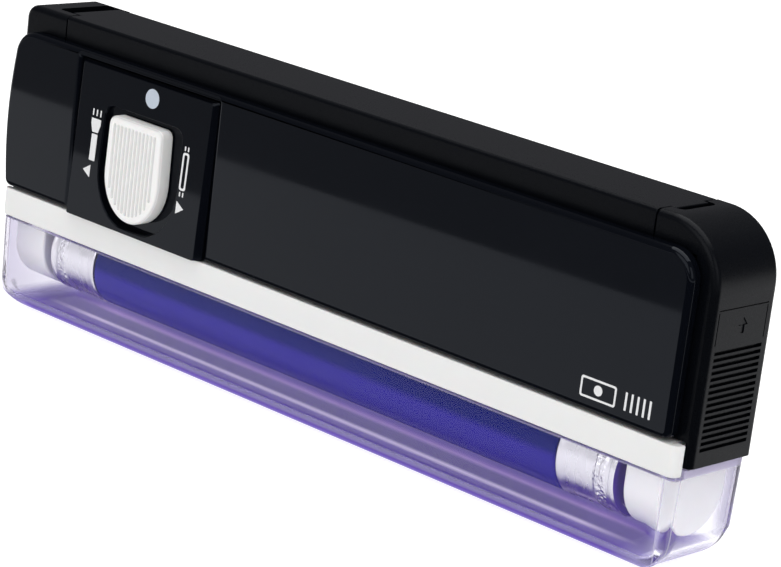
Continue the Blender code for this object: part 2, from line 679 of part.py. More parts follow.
def make_lamp_tray():
    strip_back = PANEL_FRONT + STRIP_THICK
    plan = round_corners(
        [
            (STRIP_LEFT, PANEL_FRONT, STRIP_LEFT_CORNER),
            (STRIP_RIGHT, PANEL_FRONT, STRIP_RIGHT_CORNER),
            (STRIP_RIGHT, RETURN_BACK, 0),
            (RETURN_LEFT, RETURN_BACK, 0),
            (RETURN_LEFT, strip_back, 0),
            (STRIP_LEFT, strip_back, 0),
        ]
    )
    tray = place("lamp_tray", extruded(plan, "Z", STRIP_FOOT, STRIP_TOP), "white_plastic")
    join(tray, box(DECK_X, (strip_back - STRIP_THICK / 2, DECK_BACK), (DECK_FOOT, STRIP_TOP)))
    join(tray, box(DECK_X, (SKIRT_FRONT, DECK_BACK), (SKIRT_FOOT, DECK_FOOT + SKIRT_OVERLAP)))
    for across in LEAD_NOTCHES:
        cut(tray, box(across, (LEAD_NOTCH_FRONT, DECK_BACK + MM), (SKIRT_FOOT - MM, STRIP_TOP + MM)))


def make_lamp_reflector():
    sheet = arc(LAMP_Y, LAMP_Z, REFLECTOR_OUTER, REFLECTOR_START, REFLECTOR_END, 14)
    sheet += arc(LAMP_Y, LAMP_Z, REFLECTOR_INNER, REFLECTOR_END, REFLECTOR_START, 14)
    low, high = LAMP_X - REFLECTOR_HALF, LAMP_X + REFLECTOR_HALF
    place("lamp_reflector", extruded(sheet, "X", low, high), "bright_metal")


def make_lamp_holders():
    front, back, top = LAMP_Y - GLASS_RADIUS, LAMP_Y + GLASS_RADIUS, DECK_FOOT - GAP
    profile = arc(LAMP_Y, LAMP_Z, GLASS_RADIUS, 180, 360, 16)
    profile += [(back, HOLDER_SHOULDER), (HOLDER_NECK_BACK, HOLDER_SHOULDER), (HOLDER_NECK_BACK, top), (front, top)]
    slot_y = (LAMP_Y - SOCKET_SLOT / 2, LAMP_Y + SOCKET_SLOT / 2)
    for name, (far, side) in HOLDER_ENDS.items():
        near = LAMP_X + side * (LAMP_HALF + HOLDER_GAP)
        low, high = sorted((near, far))
        holder = place(f"lamp_holder_{name}", extruded(profile, "X", low, high), "white_plastic")
        low, high = sorted((near - side * MM, near + side * SOCKET_DEPTH))
        cut(holder, cylinder((0, LAMP_Y, LAMP_Z), "X", SOCKET_RADIUS, low, high, 24))
        cut(holder, box((low, high), slot_y, (SOCKET_SLOT_FOOT, LAMP_Z)))


def make_tube():
    axis = (LAMP_X, LAMP_Y, LAMP_Z)
    bore = GLASS_RADIUS - GLASS_WALL
    pipe = [(GLASS_RADIUS, -GLASS_HALF), (GLASS_RADIUS, GLASS_HALF), (bore, GLASS_HALF), (bore, -GLASS_HALF)]
    place("uv_tube", turned(pipe, axis, steps=40, ring=True), "violet_glass", axis)
    for name, side in (("left", -1), ("right", 1)):
        rim = side * (GLASS_HALF + GAP)
        face = side * LAMP_HALF
        shoulder, inner_face = face - side * CAP_BEVEL, face - side * CAP_END
        inner = CAP_RADIUS - CAP_WALL
        cup = [(0, face), (CAP_RADIUS - CAP_BEVEL, face), (CAP_RADIUS, shoulder), (CAP_RADIUS, rim), (inner, rim),
               (inner, inner_face), (0, inner_face)]
        place(f"tube_cap_{name}", turned(cup, axis, steps=40), "bright_metal", axis)
        low, high = sorted((face + side * GAP, face + side * PIN_TIP))
        for pin, offset in (("front", -PIN_SPACING / 2), ("back", PIN_SPACING / 2)):
            pin_axis = (LAMP_X, LAMP_Y + offset, LAMP_Z)
            place(f"tube_pin_{name}_{pin}", cylinder(pin_axis, "X", PIN_RADIUS, low, high, 14), "brass", axis)


def cover_shape(inset, floor, top):
    """The lamp cover's outer or inner form: its end view and its front view, where both agree."""
    end_view = round_corners(
        [
            (COVER_FRONT + inset, top, 0),
            (COVER_FRONT + inset, floor, COVER_FRONT_CORNER),
            (COVER_BACK - inset, floor, COVER_BACK_CORNER - inset),
            (COVER_BACK - inset, top, 0),
        ]
    )
    front_view = round_corners(
        [
            (COVER_TOP_X[0] + inset, top, 0),
            (COVER_FOOT_X[0] + inset, floor, COVER_LEFT_CORNER - inset),
            (COVER_FOOT_X[1] - inset, floor, COVER_RIGHT_CORNER - inset),
            (COVER_TOP_X[1] - inset, top, 0),
        ]
    )
    along = extruded(end_view, "X", LEFT - MM, RIGHT + MM)
    across = extruded(front_view, "Y", COVER_FRONT - 2 * MM, COVER_BACK + 2 * MM)
    return along, across


def make_lens_cover():
    along, across = cover_shape(0.0, 0.0, COVER_TOP)
    cover = place("lens_cover", along, "clear_plastic", (0, 0, COVER_TOP))
    helper(cover, across, "INTERSECT")
    inner_along, inner_across = cover_shape(COVER_WALL, COVER_FLOOR, COVER_TOP + 3 * MM)
    hollow = place("lens_cover_hollow", inner_along, "dark_part")
    hollow.hide_render = True
    hollow.display_type = "WIRE"
    helper(hollow, inner_across, "INTERSECT")
    modifier = cover.modifiers.new("Hollow", "BOOLEAN")
    modifier.operation = "DIFFERENCE"
    modifier.solver = "EXACT"
    modifier.object = hollow
    cut(cover, box((LEFT - MM, RIGHT + MM), (COVER_FRONT - MM, COVER_CUT_BACK), (STRIP_FOOT - GAP, COVER_TOP + MM)))


def make_board():
    board = place("circuit_board", box(BOARD_X, (BOARD_FRONT, BOARD_BACK), BOARD_Z), "board_green")
    for x, z in BOARD_HOLES:
        cut(board, cylinder((x, 0, z), "Y", BOARD_HOLE_RADIUS, BOARD_FRONT - MM, BOARD_BACK + MM, 16))
    core = place("transformer_core", box(CORE_X, (PARTS_FRONT, CORE_BACK), CORE_Z), "dark_part")
    cut(core, box(WINDOW_X, (PARTS_FRONT - MM, CORE_BACK + MM), WINDOW_Z))
    place("transformer_winding", box(WINDING_X, (PARTS_FRONT, WINDING_BACK), WINDING_Z), "copper")
    place("switching_transistor", box(TRANSISTOR_X, (PARTS_FRONT, TRANSISTOR_BACK), TRANSISTOR_Z), "dark_part")
    place("film_capacitor", box(FILM_X, (PARTS_FRONT, FILM_BACK), FILM_Z), "amber_part")
    can = soft_rod(*CAN_X, CAN_RADIUS, 0.2 * MM, CAN_EDGE)
    can_axis = (0, PARTS_FRONT + CAN_RADIUS, CAN_Z)
    place("electrolytic_capacitor", turned(can, can_axis, "X", 20), "cell_jacket")
    rod = soft_rod(*RESISTOR_X, RESISTOR_RADIUS, 0.2 * MM, RESISTOR_EDGE)
    rod_axis = (0, PARTS_FRONT + RESISTOR_RADIUS, RESISTOR_Z)
    place("resistor", turned(rod, rod_axis, "X", 14), "amber_part")


def soft_rod(low, high, radius, inset, length):
    """The profile of a short rod whose ends narrow by inset over a length."""
    return [(0, low), (radius - inset, low), (radius, low + length), (radius, high - length), (radius - inset, high),
            (0, high)]


def make_cells():
    for row, (height, forward) in enumerate(((LOWER_ROW, 1), (UPPER_ROW, -1))):
        for place_in_row in range(2):
            start = CELL_START + place_in_row * (CELL_LENGTH + GAP)
            flat, tip = (start, start + CELL_LENGTH) if forward > 0 else (start + CELL_LENGTH, start)
            shoulder = tip - forward * CELL_NUB
            edge = forward * CELL_EDGE
            end_radius = CELL_RADIUS - CELL_EDGE
            profile = [(0, flat), (end_radius, flat), (CELL_RADIUS, flat + edge), (CELL_RADIUS, shoulder - edge),
                       (end_radius, shoulder), (CELL_NUB_RADIUS, shoulder), (CELL_NUB_RADIUS, tip), (0, tip)]
            number = row * 2 + place_in_row + 1
            place(f"battery_cell_{number}", turned(profile, (0, CELL_Y, height), "X", 32), "cell_jacket")


def make_cradle():
    cradle = place("battery_cradle", box(CRADLE_WALL_X, CRADLE_WALL_Y, (CRADLE_FOOT, CRADLE_TOP)), "dark_part")
    join(cradle, box(RAIL_X, RAIL_Y, (CRADLE_FOOT, CRADLE_RAIL_TOP)))
    spring = coil(CELL_Y, LOWER_ROW, *CRADLE_SPRING_X, *CRADLE_SPRING_RADII)
    place("cradle_contact_spring", spring, "bright_metal")
    wall_face = CRADLE_WALL_X[1] + GAP
    across = (wall_face, wall_face, LEAF_TIP, LEAF_TIP, wall_face, wall_face)
    leaf = strip(list(zip(across, LEAF_Y)), LEAF_THICK)
    place("cradle_contact_leaf", extruded(leaf, "Z", *LEAF_Z), "bright_metal")


def make_lead(name, route):
    """A thin insulated lead along a smooth curve through the route's points."""
    points = [Vector(point) * MM for point in route]
    smooth = []
    for index in range(len(points) - 1):
        before = points[max(index - 1, 0)]
        after = points[min(index + 2, len(points) - 1)]
        one, two = points[index], points[index + 1]
        steps = max(2, min(12, int((two - one).length / (4 * LEAD_RADIUS))))
        for step in range(steps):
            t = step / steps
            straight = 2 * one + (two - before) * t
            bend = (2 * before - 5 * one + 4 * two - after) * t**2
            twist = (3 * one - before - 3 * two + after) * t**3
            smooth.append(0.5 * (straight + bend + twist))
    smooth.append(points[-1])
    curve = bpy.data.curves.new(name, "CURVE")
    curve.dimensions = "3D"
    curve.bevel_depth = LEAD_RADIUS
    curve.bevel_resolution = 2
    curve.use_fill_caps = True
    spline = curve.splines.new("POLY")
    spline.points.add(len(smooth) - 1)
    for point, target in zip(spline.points, smooth):
        point.co = (*target, 1.0)
    curve.materials.append(MATERIALS["red_wire"])
    bpy.context.scene.collection.objects.link(bpy.data.objects.new(name, curve))


def make_screws():
    for name, height in SCREW_HEIGHTS.items():
        axis = (SCREW_X, 0, height)
        profile = [(0, HEAD_FACE), (HEAD_RADIUS - 0.4 * MM, HEAD_FACE), (HEAD_RADIUS, HEAD_FACE - HEAD_CHAMFER),
                   (HEAD_RADIUS, HEAD_SEAT), (SHANK_RADIUS, HEAD_SEAT), (SHANK_RADIUS, SHANK_END), (0, SCREW_TIP)]
        screw = place(f"housing_screw_{name}", turned(profile, axis, "Y", 20), "bright_metal")
        deep = (HEAD_FACE - RECESS_DEPTH, BACK + MM)
        for half_x, half_z in ((RECESS_ARM, RECESS_HALF), (RECESS_HALF, RECESS_ARM)):
            cut(screw, box((SCREW_X - half_x, SCREW_X + half_x), deep, (height - half_z, height + half_z)))


clear_scene()
MATERIALS = make_materials()
make_front_housing()
make_switch_plate()
make_knob()
make_switch_body()
make_rear_shell()
make_battery_door()
make_torch_cap()
make_torch_bulb()
make_lamp_tray()
make_lamp_reflector()
make_lamp_holders()
make_tube()
make_lens_cover()
make_board()
make_cells()
make_cradle()
make_lead("lamp_lead_left", LEFT_LEAD)
make_lead("lamp_lead_right", RIGHT_LEAD)
make_screws()
smooth_all()
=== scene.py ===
"""Looks for the hand-held counterfeit bill detector: shells, clear lamp cover, violet tube and studio.

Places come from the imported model's boxes, or are given in its frame, in metres. +X runs from the torch to the
battery door, +Y from the front panel to the back, and +Z up.
"""
import math

import bmesh
import bpy
from mathutils import Matrix, Vector


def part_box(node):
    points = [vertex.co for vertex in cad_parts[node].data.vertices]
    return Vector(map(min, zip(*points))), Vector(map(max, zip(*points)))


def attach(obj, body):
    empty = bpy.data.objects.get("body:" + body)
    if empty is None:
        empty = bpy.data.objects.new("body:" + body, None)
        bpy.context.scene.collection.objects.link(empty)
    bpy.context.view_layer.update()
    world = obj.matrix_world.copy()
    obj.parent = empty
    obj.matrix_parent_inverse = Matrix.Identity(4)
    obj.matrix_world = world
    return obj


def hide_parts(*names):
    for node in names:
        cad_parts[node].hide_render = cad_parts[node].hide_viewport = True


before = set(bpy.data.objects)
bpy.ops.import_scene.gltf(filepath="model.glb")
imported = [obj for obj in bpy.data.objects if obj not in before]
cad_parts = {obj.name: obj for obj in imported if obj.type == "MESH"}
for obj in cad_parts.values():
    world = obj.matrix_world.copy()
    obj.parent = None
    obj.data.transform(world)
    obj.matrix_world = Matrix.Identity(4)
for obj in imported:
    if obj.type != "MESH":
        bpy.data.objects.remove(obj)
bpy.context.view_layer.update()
MM = 0.001
LEAST_RADIUS = 0.01 * MM
AXES = {"X": lambda u, v, w: (w, u, v), "Y": lambda u, v, w: (u, w, v), "Z": lambda u, v, w: (u, v, w)}

# The camera that sees the object from the right, above its front.
CAMERA_AT = Vector((338.43, -367.26, 163.76)) * MM
CAMERA_AZIMUTH = 41.69
CAMERA_ELEVATION = 15.51
CAMERA_ROLL = 7.09
CAMERA_LENS = 139.47


class Span:
    """A CAD node's box at rest, by the names of its sides."""

    def __init__(self, node):
        low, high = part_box(node)
        self.left, self.front, self.foot = low
        self.right, self.back, self.top = high

    def middle(self):
        return Vector((self.left + self.right, self.front + self.back, self.foot + self.top)) / 2

    def ends(self, side):
        """The inner and the outer end of a piece at one side of the lamp."""
        return (self.right, self.left) if side == "left" else (self.left, self.right)


# ------------------------------ shapes


def round_corners(corners, steps=8):
    """A closed outline from (u, v, radius) corners, each with an arc of that radius."""
    outline = []
    for index, (u, v, radius) in enumerate(corners):
        corner = Vector((u, v))
        before = Vector(corners[index - 1][:2]) - corner
        after = Vector(corners[(index + 1) % len(corners)][:2]) - corner
        if radius == 0:
            outline.append((u, v))
            continue
        half = before.angle(after) / 2
        bisector = (before.normalized() + after.normalized()).normalized()
        middle = corner + bisector * (radius / math.sin(half))
        reach = radius / math.tan(half)
        first = corner + before.normalized() * reach - middle
        last = corner + after.normalized() * reach - middle
        turn = -first.angle_signed(last)
        for step in range(steps + 1):
            angle = turn * step / steps
            c, s = math.cos(angle), math.sin(angle)
            outline.append((middle.x + c * first.x - s * first.y, middle.y + s * first.x + c * first.y))
    return outline


def signed_area(outline):
    return sum(a[0] * b[1] - b[0] * a[1] for a, b in zip(outline, outline[1:] + outline[:1])) / 2


def inset_outline(outline, inset):
    """The outline moved inwards by inset, corner by corner."""
    if inset == 0:
        return list(outline)
    turn = 1 if signed_area(outline) > 0 else -1
    moved = []
    for index, point in enumerate(outline):
        here = Vector(point)
        before = (here - Vector(outline[index - 1])).normalized()
        after = (Vector(outline[(index + 1) % len(outline)]) - here).normalized()
        inward_before = Vector((-before.y, before.x)) * turn
        inward_after = Vector((-after.y, after.x)) * turn
        middle = (inward_before + inward_after).normalized()
        reach = inset / max(middle.dot(inward_before), 0.3)
        moved.append((here.x + middle.x * reach, here.y + middle.y * reach))
    return moved


def lofted(rings):
    """A closed mesh through rings of points, with flat ends."""
    bm = bmesh.new()
    made = [[bm.verts.new(point) for point in ring] for ring in rings]
    count = len(rings[0])
    for one, two in zip(made, made[1:]):
        for index in range(count):
            after = (index + 1) % count
            bm.faces.new((one[index], one[after], two[after], two[index]))
    bm.faces.new(made[0])
    bm.faces.new(made[-1])
    bmesh.ops.recalc_face_normals(bm, faces=bm.faces)
    return bm


def rim(level, radius, towards, steps):
    """(level, inset) pairs round a rim, from its flat end. towards is +1 if the piece goes on upwards."""
    pairs = []
    for step in range(steps + 1):
        angle = math.pi / 2 * step / steps
        pairs.append((level + towards * radius * (1 - math.cos(angle)), radius * (1 - math.sin(angle))))
    return pairs


def rounded(corners, steps=8):
    """A shape from (u, v, radius) corners: a function that gives its outline moved inwards by an inset."""
    points = [corner[:2] for corner in corners]
    turn = 1 if signed_area(points) > 0 else -1

    def outline(inset=0.0):
        made = []
        for index, (u, v) in enumerate(inset_outline(points, inset)):
            radius = corners[index][2]
            if radius:
                before = Vector(points[index]) - Vector(points[index - 1])
                after = Vector(points[(index + 1) % len(points)]) - Vector(points[index])
                convex = before.cross(after) * turn > 0
                radius = max(radius - inset if convex else radius + inset, LEAST_RADIUS)
            made.append((u, v, radius))
        return round_corners(made, steps)

    return outline


def prism(shape, axis, low, high, low_round=0.0, high_round=0.0, steps=4):
    """An extrusion along an axis whose two rims can be rounded."""
    pairs = rim(low, low_round, 1, steps) if low_round else [(low, 0.0)]
    pairs += list(reversed(rim(high, high_round, -1, steps))) if high_round else [(high, 0.0)]
    to_point = AXES[axis]
    return lofted([[to_point(u, v, level) for u, v in shape(inset)] for level, inset in pairs])


def rectangle(left, right, foot, top, third):
    """Four corners, anticlockwise from the lower left, each with the same third value."""
    return [(left, foot, third), (right, foot, third), (right, top, third), (left, top, third)]


def box(x, y, z, round_by=0.0):
    shape = rounded(rectangle(*x, *z, round_by), 3)
    return prism(shape, "Y", y[0], y[1], round_by * 0.9, round_by * 0.9, 3)


def merged(parts):
    """Several bmeshes as one."""
    whole = bmesh.new()
    for part in parts:
        mesh = bpy.data.meshes.new("part")
        part.to_mesh(mesh)
        part.free()
        whole.from_mesh(mesh)
        bpy.data.meshes.remove(mesh)
    return whole


def turned(profile, centre, axis="X", steps=64, ring=False):
    """Spins a profile of (radius, along) points. A ring profile is closed and stays off the axis."""
    bm = bmesh.new()
    to_point = AXES[axis]
    middle = Vector(centre)
    direction = Vector(to_point(0, 0, 1))
    verts = []
    for radius, along in profile:
        verts.append(bm.verts.new(middle + Vector(to_point(radius, 0, 0)) + direction * along))
    edges = [bm.edges.new(pair) for pair in zip(verts, verts[1:])]
    if ring:
        edges.append(bm.edges.new((verts[-1], verts[0])))
    bmesh.ops.spin(bm, geom=verts + edges, cent=middle, axis=direction, dvec=(0, 0, 0), angle=2 * math.pi,
                   steps=steps, use_merge=True, use_duplicate=False)
    bmesh.ops.remove_doubles(bm, verts=bm.verts, dist=1e-7)
    bmesh.ops.recalc_face_normals(bm, faces=bm.faces)
    return bm


def arc(centre_u, centre_v, radius, start, end, steps):
    angles = [math.radians(start + (end - start) * step / steps) for step in range(steps + 1)]
    return [(centre_u + radius * math.cos(a), centre_v + radius * math.sin(a)) for a in angles]


def raw_object(name, bm):
    mesh = bpy.data.meshes.new(name)
    bm.to_mesh(mesh)
    bm.free()
    obj = bpy.data.objects.new(name, mesh)
    bpy.context.scene.collection.objects.link(obj)
    return obj


def combine(obj, shape, operation):
    """Cuts a bmesh or another object from a piece or joins it on, and keeps only the result."""
    other = raw_object("tool", shape) if isinstance(shape, bmesh.types.BMesh) else shape
    modifier = obj.modifiers.new("tool", "BOOLEAN")
    modifier.operation = operation
    modifier.solver = "EXACT"
    modifier.object = other
    settle(obj)
    bpy.data.objects.remove(other, do_unlink=True)


def cut(obj, shape):
    combine(obj, shape, "DIFFERENCE")


def join(obj, shape):
    combine(obj, shape, "UNION")


def settle(obj):
    """Replaces a piece's mesh by what its modifiers make of it."""
    bpy.context.view_layer.update()
    depsgraph = bpy.context.evaluated_depsgraph_get()
    mesh = bpy.data.meshes.new_from_object(obj.evaluated_get(depsgraph))
    obj.modifiers.clear()
    old, obj.data = obj.data, mesh
    bpy.data.meshes.remove(old)


def dress(obj, material, body, replaces=None, sharp=30):
    """Shades a finished piece, gives it its material and sets it on its CAD body."""
    obj.data.materials.clear()
    obj.data.materials.append(material)
    obj.data.shade_smooth()
    obj.data.set_sharp_from_angle(angle=math.radians(sharp))
    weighted = obj.modifiers.new("Even shading", "WEIGHTED_NORMAL")
    weighted.keep_sharp = True
    if replaces:
        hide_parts(replaces)
    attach(obj, body)
    return obj


# ------------------------------ materials


class Nodes:
    """Short names for building one material's node tree."""

    def __init__(self, name):
        self.material = bpy.data.materials.new(name)
        self.material.use_nodes = True
        self.tree = self.material.node_tree
        self.shader = self.tree.nodes["Principled BSDF"]
        self.output = self.tree.nodes["Material Output"]
        self.place = self.add("ShaderNodeTexCoord").outputs["Object"]

    def add(self, kind, **inputs):
        node = self.tree.nodes.new(kind)
        for name, value in inputs.items():
            self.put(node.inputs[name.replace("_", " ")], value)
        return node

    def put(self, socket, value):
        if isinstance(value, bpy.types.NodeSocket):
            self.tree.links.new(value, socket)
        else:
            socket.default_value = value

    def set(self, **inputs):
        for name, value in inputs.items():
            self.put(self.shader.inputs[name.replace("_", " ")], value)

    def noise(self, scale, detail=3.0, roughness=0.55, vector=None):
        node = self.add("ShaderNodeTexNoise", Scale=scale, Detail=detail, Roughness=roughness)
        self.put(node.inputs["Vector"], vector or self.place)
        return node.outputs["Fac"]

    def speckle(self, scale, vector=None):
        node = self.add("ShaderNodeTexVoronoi", Scale=scale)
        self.put(node.inputs["Vector"], vector or self.place)
        return node.outputs["Distance"]

    def stretched(self, x, y, z):
        node = self.add("ShaderNodeMapping", Vector=self.place)
        node.inputs["Scale"].default_value = (x, y, z)
        return node.outputs["Vector"]

    def between(self, factor, low, high, from_low=0.0, from_high=1.0):
        node = self.add("ShaderNodeMapRange", Value=factor)
        node.inputs["From Min"].default_value = from_low
        node.inputs["From Max"].default_value = from_high
        node.inputs["To Min"].default_value = low
        node.inputs["To Max"].default_value = high
        return node.outputs["Result"]

    def blend(self, factor, one, two):
        node = self.add("ShaderNodeMix")
        node.data_type = "RGBA"
        self.put(node.inputs["Factor"], factor)
        for socket, colour in ((node.inputs[6], one), (node.inputs[7], two)):
            self.put(socket, colour if isinstance(colour, bpy.types.NodeSocket) else (*colour, 1.0))
        return node.outputs[2]

    def maths(self, operation, one, two=0.0):
        node = self.add("ShaderNodeMath")
        node.operation = operation
        self.put(node.inputs[0], one)
        self.put(node.inputs[1], two)
        return node.outputs[0]

    def away(self, value, centre):
        """How far a value is from a centre, to either side."""
        return self.maths("ABSOLUTE", self.maths("SUBTRACT", value, centre))

    def band(self, value, centre, width):
        """One at the centre, falling to nothing at a width to either side."""
        return self.between(self.away(value, centre), 1.0, 0.0, 0.0, width)

    def both(self, one, two):
        return self.maths("MULTIPLY", one, two)

    def across(self):
        """The place on the piece, as separate X, Y and Z."""
        return self.add("ShaderNodeSeparateXYZ", Vector=self.place).outputs

    def clear_for(self, factor, colour=(1.0, 1.0, 1.0, 1.0)):
        """Makes the surface plainly transparent wherever the factor is one."""
        mix = self.add("ShaderNodeMixShader", Fac=factor)
        self.put(mix.inputs[1], self.shader.outputs["BSDF"])
        self.put(mix.inputs[2], self.add("ShaderNodeBsdfTransparent", Color=colour).outputs["BSDF"])
        self.put(self.output.inputs["Surface"], mix.outputs["Shader"])

    def bump(self, height, strength, distance):
        node = self.add("ShaderNodeBump", Height=height, Strength=strength, Distance=distance)
        return node.outputs["Normal"]


def gloss_black():
    n = Nodes("Gloss black ABS")
    tone_shift = n.noise(38, 4)
    fine = n.noise(2600, 2)
    n.set(
        Base_Color=n.blend(tone_shift, (0.0014, 0.0019, 0.0034), (0.0024, 0.0030, 0.0050)),
        Roughness=n.between(tone_shift, 0.03, 0.06, 0.3, 0.7),
        Normal=n.bump(fine, 0.02, 0.02 * MM),
        Specular_IOR_Level=0.165,
        Specular_Tint=(0.80, 0.87, 1.0, 1.0),
    )
    return n.material


def satin_black():
    n = Nodes("Satin black ABS")
    grain = n.noise(5200, 3, 0.6)
    patches = n.noise(60, 3)
    n.set(
        Base_Color=n.blend(patches, (0.0012, 0.0016, 0.0028), (0.0020, 0.0026, 0.0040)),
        Roughness=n.between(grain, 0.24, 0.38, 0.3, 0.7),
        Normal=n.bump(grain, 0.35, 0.02 * MM),
        Specular_IOR_Level=0.11,
        Specular_Tint=(0.93, 0.95, 1.0, 1.0),
    )
    return n.material


def white_plastic(name="White ABS", tint=(0.83, 0.83, 0.82), groove_tops=None):
    """Moulded white plastic. Below the tops of its grooves, if they are given, the groove walls are painted a
    darker grey as painted shade.
    """
    n = Nodes(name)
    mottle = n.noise(120, 4)
    fine = n.noise(4200, 2)
    colour = n.blend(mottle, tuple(c * 0.965 for c in tint), tint)
    if groove_tops is not None:
        # Painted shade: the grooves' walls, just behind their tops, are painted a darker grey.
        depth = n.across()["Y"]
        groove_shade = n.both(n.between(depth, 0.0, 1.0, groove_tops + 0.04 * MM, groove_tops + 0.30 * MM),
                      n.between(depth, 1.0, 0.0, groove_tops + 0.36 * MM, groove_tops + 0.40 * MM))
        colour = n.blend(groove_shade, colour, (0.70, 0.70, 0.69))
    n.set(
        Base_Color=colour,
        Roughness=n.between(fine, 0.30, 0.42, 0.3, 0.7),
        Normal=n.bump(fine, 0.10, 0.01 * MM),
        Subsurface_Weight=0.08,
        Subsurface_Scale=0.4 * MM,
    )
    return n.material


def clear_plastic(glow=True):
    """Clear moulded plastic that lets light through, painted lilac and less clear where it is seen edge-on, as
    painted shade.

    With a glow it is the lamp's cover: its foot carries a painted violet glow and painted reflections of the
    lamp in two bands, thin lilac-grey painted lines run along its top rim, its end rims and one corner, and a
    painted grey shade lies over its left end.
    """
    n = Nodes("Clear styrene" if glow else "Clear acrylic")
    flow = n.noise(90, 3)
    # Painted shade: where the plastic is seen edge-on it is painted lilac and made less clear.
    facing = n.add("ShaderNodeLayerWeight", Blend=0.5).outputs["Facing"]
    edge = n.between(facing, 0.0, 1.0, 0.60, 0.96)
    tint = n.blend(edge, (0.935, 0.93, 0.965), (0.58, 0.54, 0.74))
    clarity = n.between(edge, 1.0, 0.45)
    if glow:
        across = n.across()
        # Painted violet glow and painted reflections of the lamp fill the foot, below 2.6 mm and under the
        # lamp's length, strongest in two bands.
        low = n.between(across["Z"], 1.0, 0.0, 1.3 * MM, 2.6 * MM)
        # Painted line along the top rim: its top 0.4 mm is painted lilac-grey and made less clear.
        high = n.between(across["Z"], 0.0, 1.0, 15.8 * MM, 16.2 * MM)
        from_middle = n.maths("ABSOLUTE", across["X"])
        lit = n.between(from_middle, 1.0, 0.0, 60 * MM, 72 * MM)
        low = n.both(low, n.between(from_middle, 1.0, 0.45, 71 * MM, 80 * MM))
        ripple = n.both(n.noise(1.0, 2, vector=n.stretched(4, 300, 300)), 1.2 * MM)
        depth = n.maths("ADD", across["Y"], ripple)
        front_painted_band = n.both(n.band(depth, -0.6 * MM, 1.1 * MM), lit)
        rear_painted_band = n.both(n.band(depth, 5.4 * MM, 1.5 * MM), lit)
        violet = n.blend(front_painted_band, (0.125, 0.062, 0.44), (0.90, 0.78, 1.0))
        violet = n.blend(rear_painted_band, violet, (0.42, 0.28, 0.62))
        # Painted lines along the right and left rims and down one front corner, standing in for the refraction
        # at those edges.
        right_rim = n.both(n.between(across["Y"], 0.0, 1.0, 9.0 * MM, 9.4 * MM),
                           n.between(across["X"], 0.0, 1.0, 76 * MM, 79 * MM))
        left_rim = n.both(n.between(across["Y"], 1.0, 0.0, -7.2 * MM, -6.8 * MM),
                          n.between(across["X"], 1.0, 0.0, -79.4 * MM, -79.0 * MM))
        right, front = Span("lens_cover").right, Span("lens_cover").front
        corner_line = n.both(n.band(across["X"], right - 1.9 * MM, 0.22 * MM),
                             n.between(across["Y"], 1.0, 0.0, front + 1.6 * MM, front + 2.0 * MM))
        side_line = n.both(n.band(across["Y"], front + 1.7 * MM, 0.22 * MM),
                           n.between(across["X"], 0.0, 1.0, right - 2.0 * MM, right - 1.6 * MM))
        corner_lines = n.maths("MAXIMUM", corner_line, side_line)
        painted_rim_lines = n.maths("MAXIMUM", n.maths("MAXIMUM", right_rim, left_rim), corner_lines)
        # Painted grey shade over the cover's left end, fading out 10 mm in.
        tone_shift = n.between(across["X"], 1.0, 0.0, -78 * MM, -68 * MM)
        tint = n.blend(tone_shift, tint, (0.74, 0.72, 0.80))
        tint = n.blend(n.maths("MAXIMUM", high, painted_rim_lines), tint, (0.60, 0.56, 0.74))
        clarity = n.both(clarity, n.between(painted_rim_lines, 1.0, 0.4))
        tint = n.blend(low, tint, violet)
        clarity = n.both(clarity, n.between(low, 1.0, 0.24))
        clarity = n.both(clarity, n.between(high, 1.0, 0.5))
        # The foot glows violet, more in the two bands: painted glow, since the cover is no lamp.
        painted_glow = n.maths("ADD", 0.06, n.both(n.maths("ADD", front_painted_band, rear_painted_band), 0.16))
        n.set(Emission_Color=violet, Emission_Strength=n.both(low, painted_glow))
    n.set(
        Base_Color=tint,
        Transmission_Weight=clarity,
        Roughness=n.between(flow, 0.0, 0.03, 0.4, 0.8),
        Normal=n.bump(flow, 0.05, 0.05 * MM),
        IOR=1.49,
        Specular_IOR_Level=0.12,
        Specular_Tint=(0.35, 0.33, 0.40, 1.0),
    )
    n.clear_for(n.add("ShaderNodeLightPath").outputs["Is Shadow Ray"], (0.94, 0.935, 0.97, 1.0))
    return n.material


def violet_glass():
    """Filter glass, painted darker and bluer on its upper side as painted shade under the tray and warmer
    below, with faint streaks along the tube.
    """
    n = Nodes("Violet filter glass")
    streak = n.noise(1.0, 3, vector=n.stretched(30, 500, 500))
    height = n.across()["Z"]
    # Painted shade: the upper half is painted darker and bluer, and so glows less.
    upper = n.between(height, 0.0, 1.0, LAMP_AXIS.z - 0.7 * MM, LAMP_AXIS.z + 0.7 * MM)
    colour = n.blend(upper, (0.028, 0.020, 0.285), (0.0010, 0.0065, 0.150))
    n.set(
        Base_Color=colour,
        Roughness=n.between(streak, 0.20, 0.28),
        Emission_Color=colour,
        Emission_Strength=n.between(streak, 0.08, 0.10),
        Normal=n.bump(streak, 0.01, 0.005 * MM),
        Specular_IOR_Level=0.05,
    )
    return n.material


def plated_metal(name="Plated steel", colour=(0.78, 0.78, 0.80), rough=(0.16, 0.32)):
    n = Nodes(name)
    along = n.stretched(200, 2600, 2600)
    brushed = n.noise(1.0, 4, vector=along)
    dull = tuple(c * 0.86 for c in colour)
    n.set(
        Base_Color=n.blend(brushed, dull, colour),
        Roughness=n.between(brushed, *rough, 0.3, 0.7),
        Normal=n.bump(brushed, 0.15, 0.01 * MM),
        Metallic=1.0,
    )
    return n.material


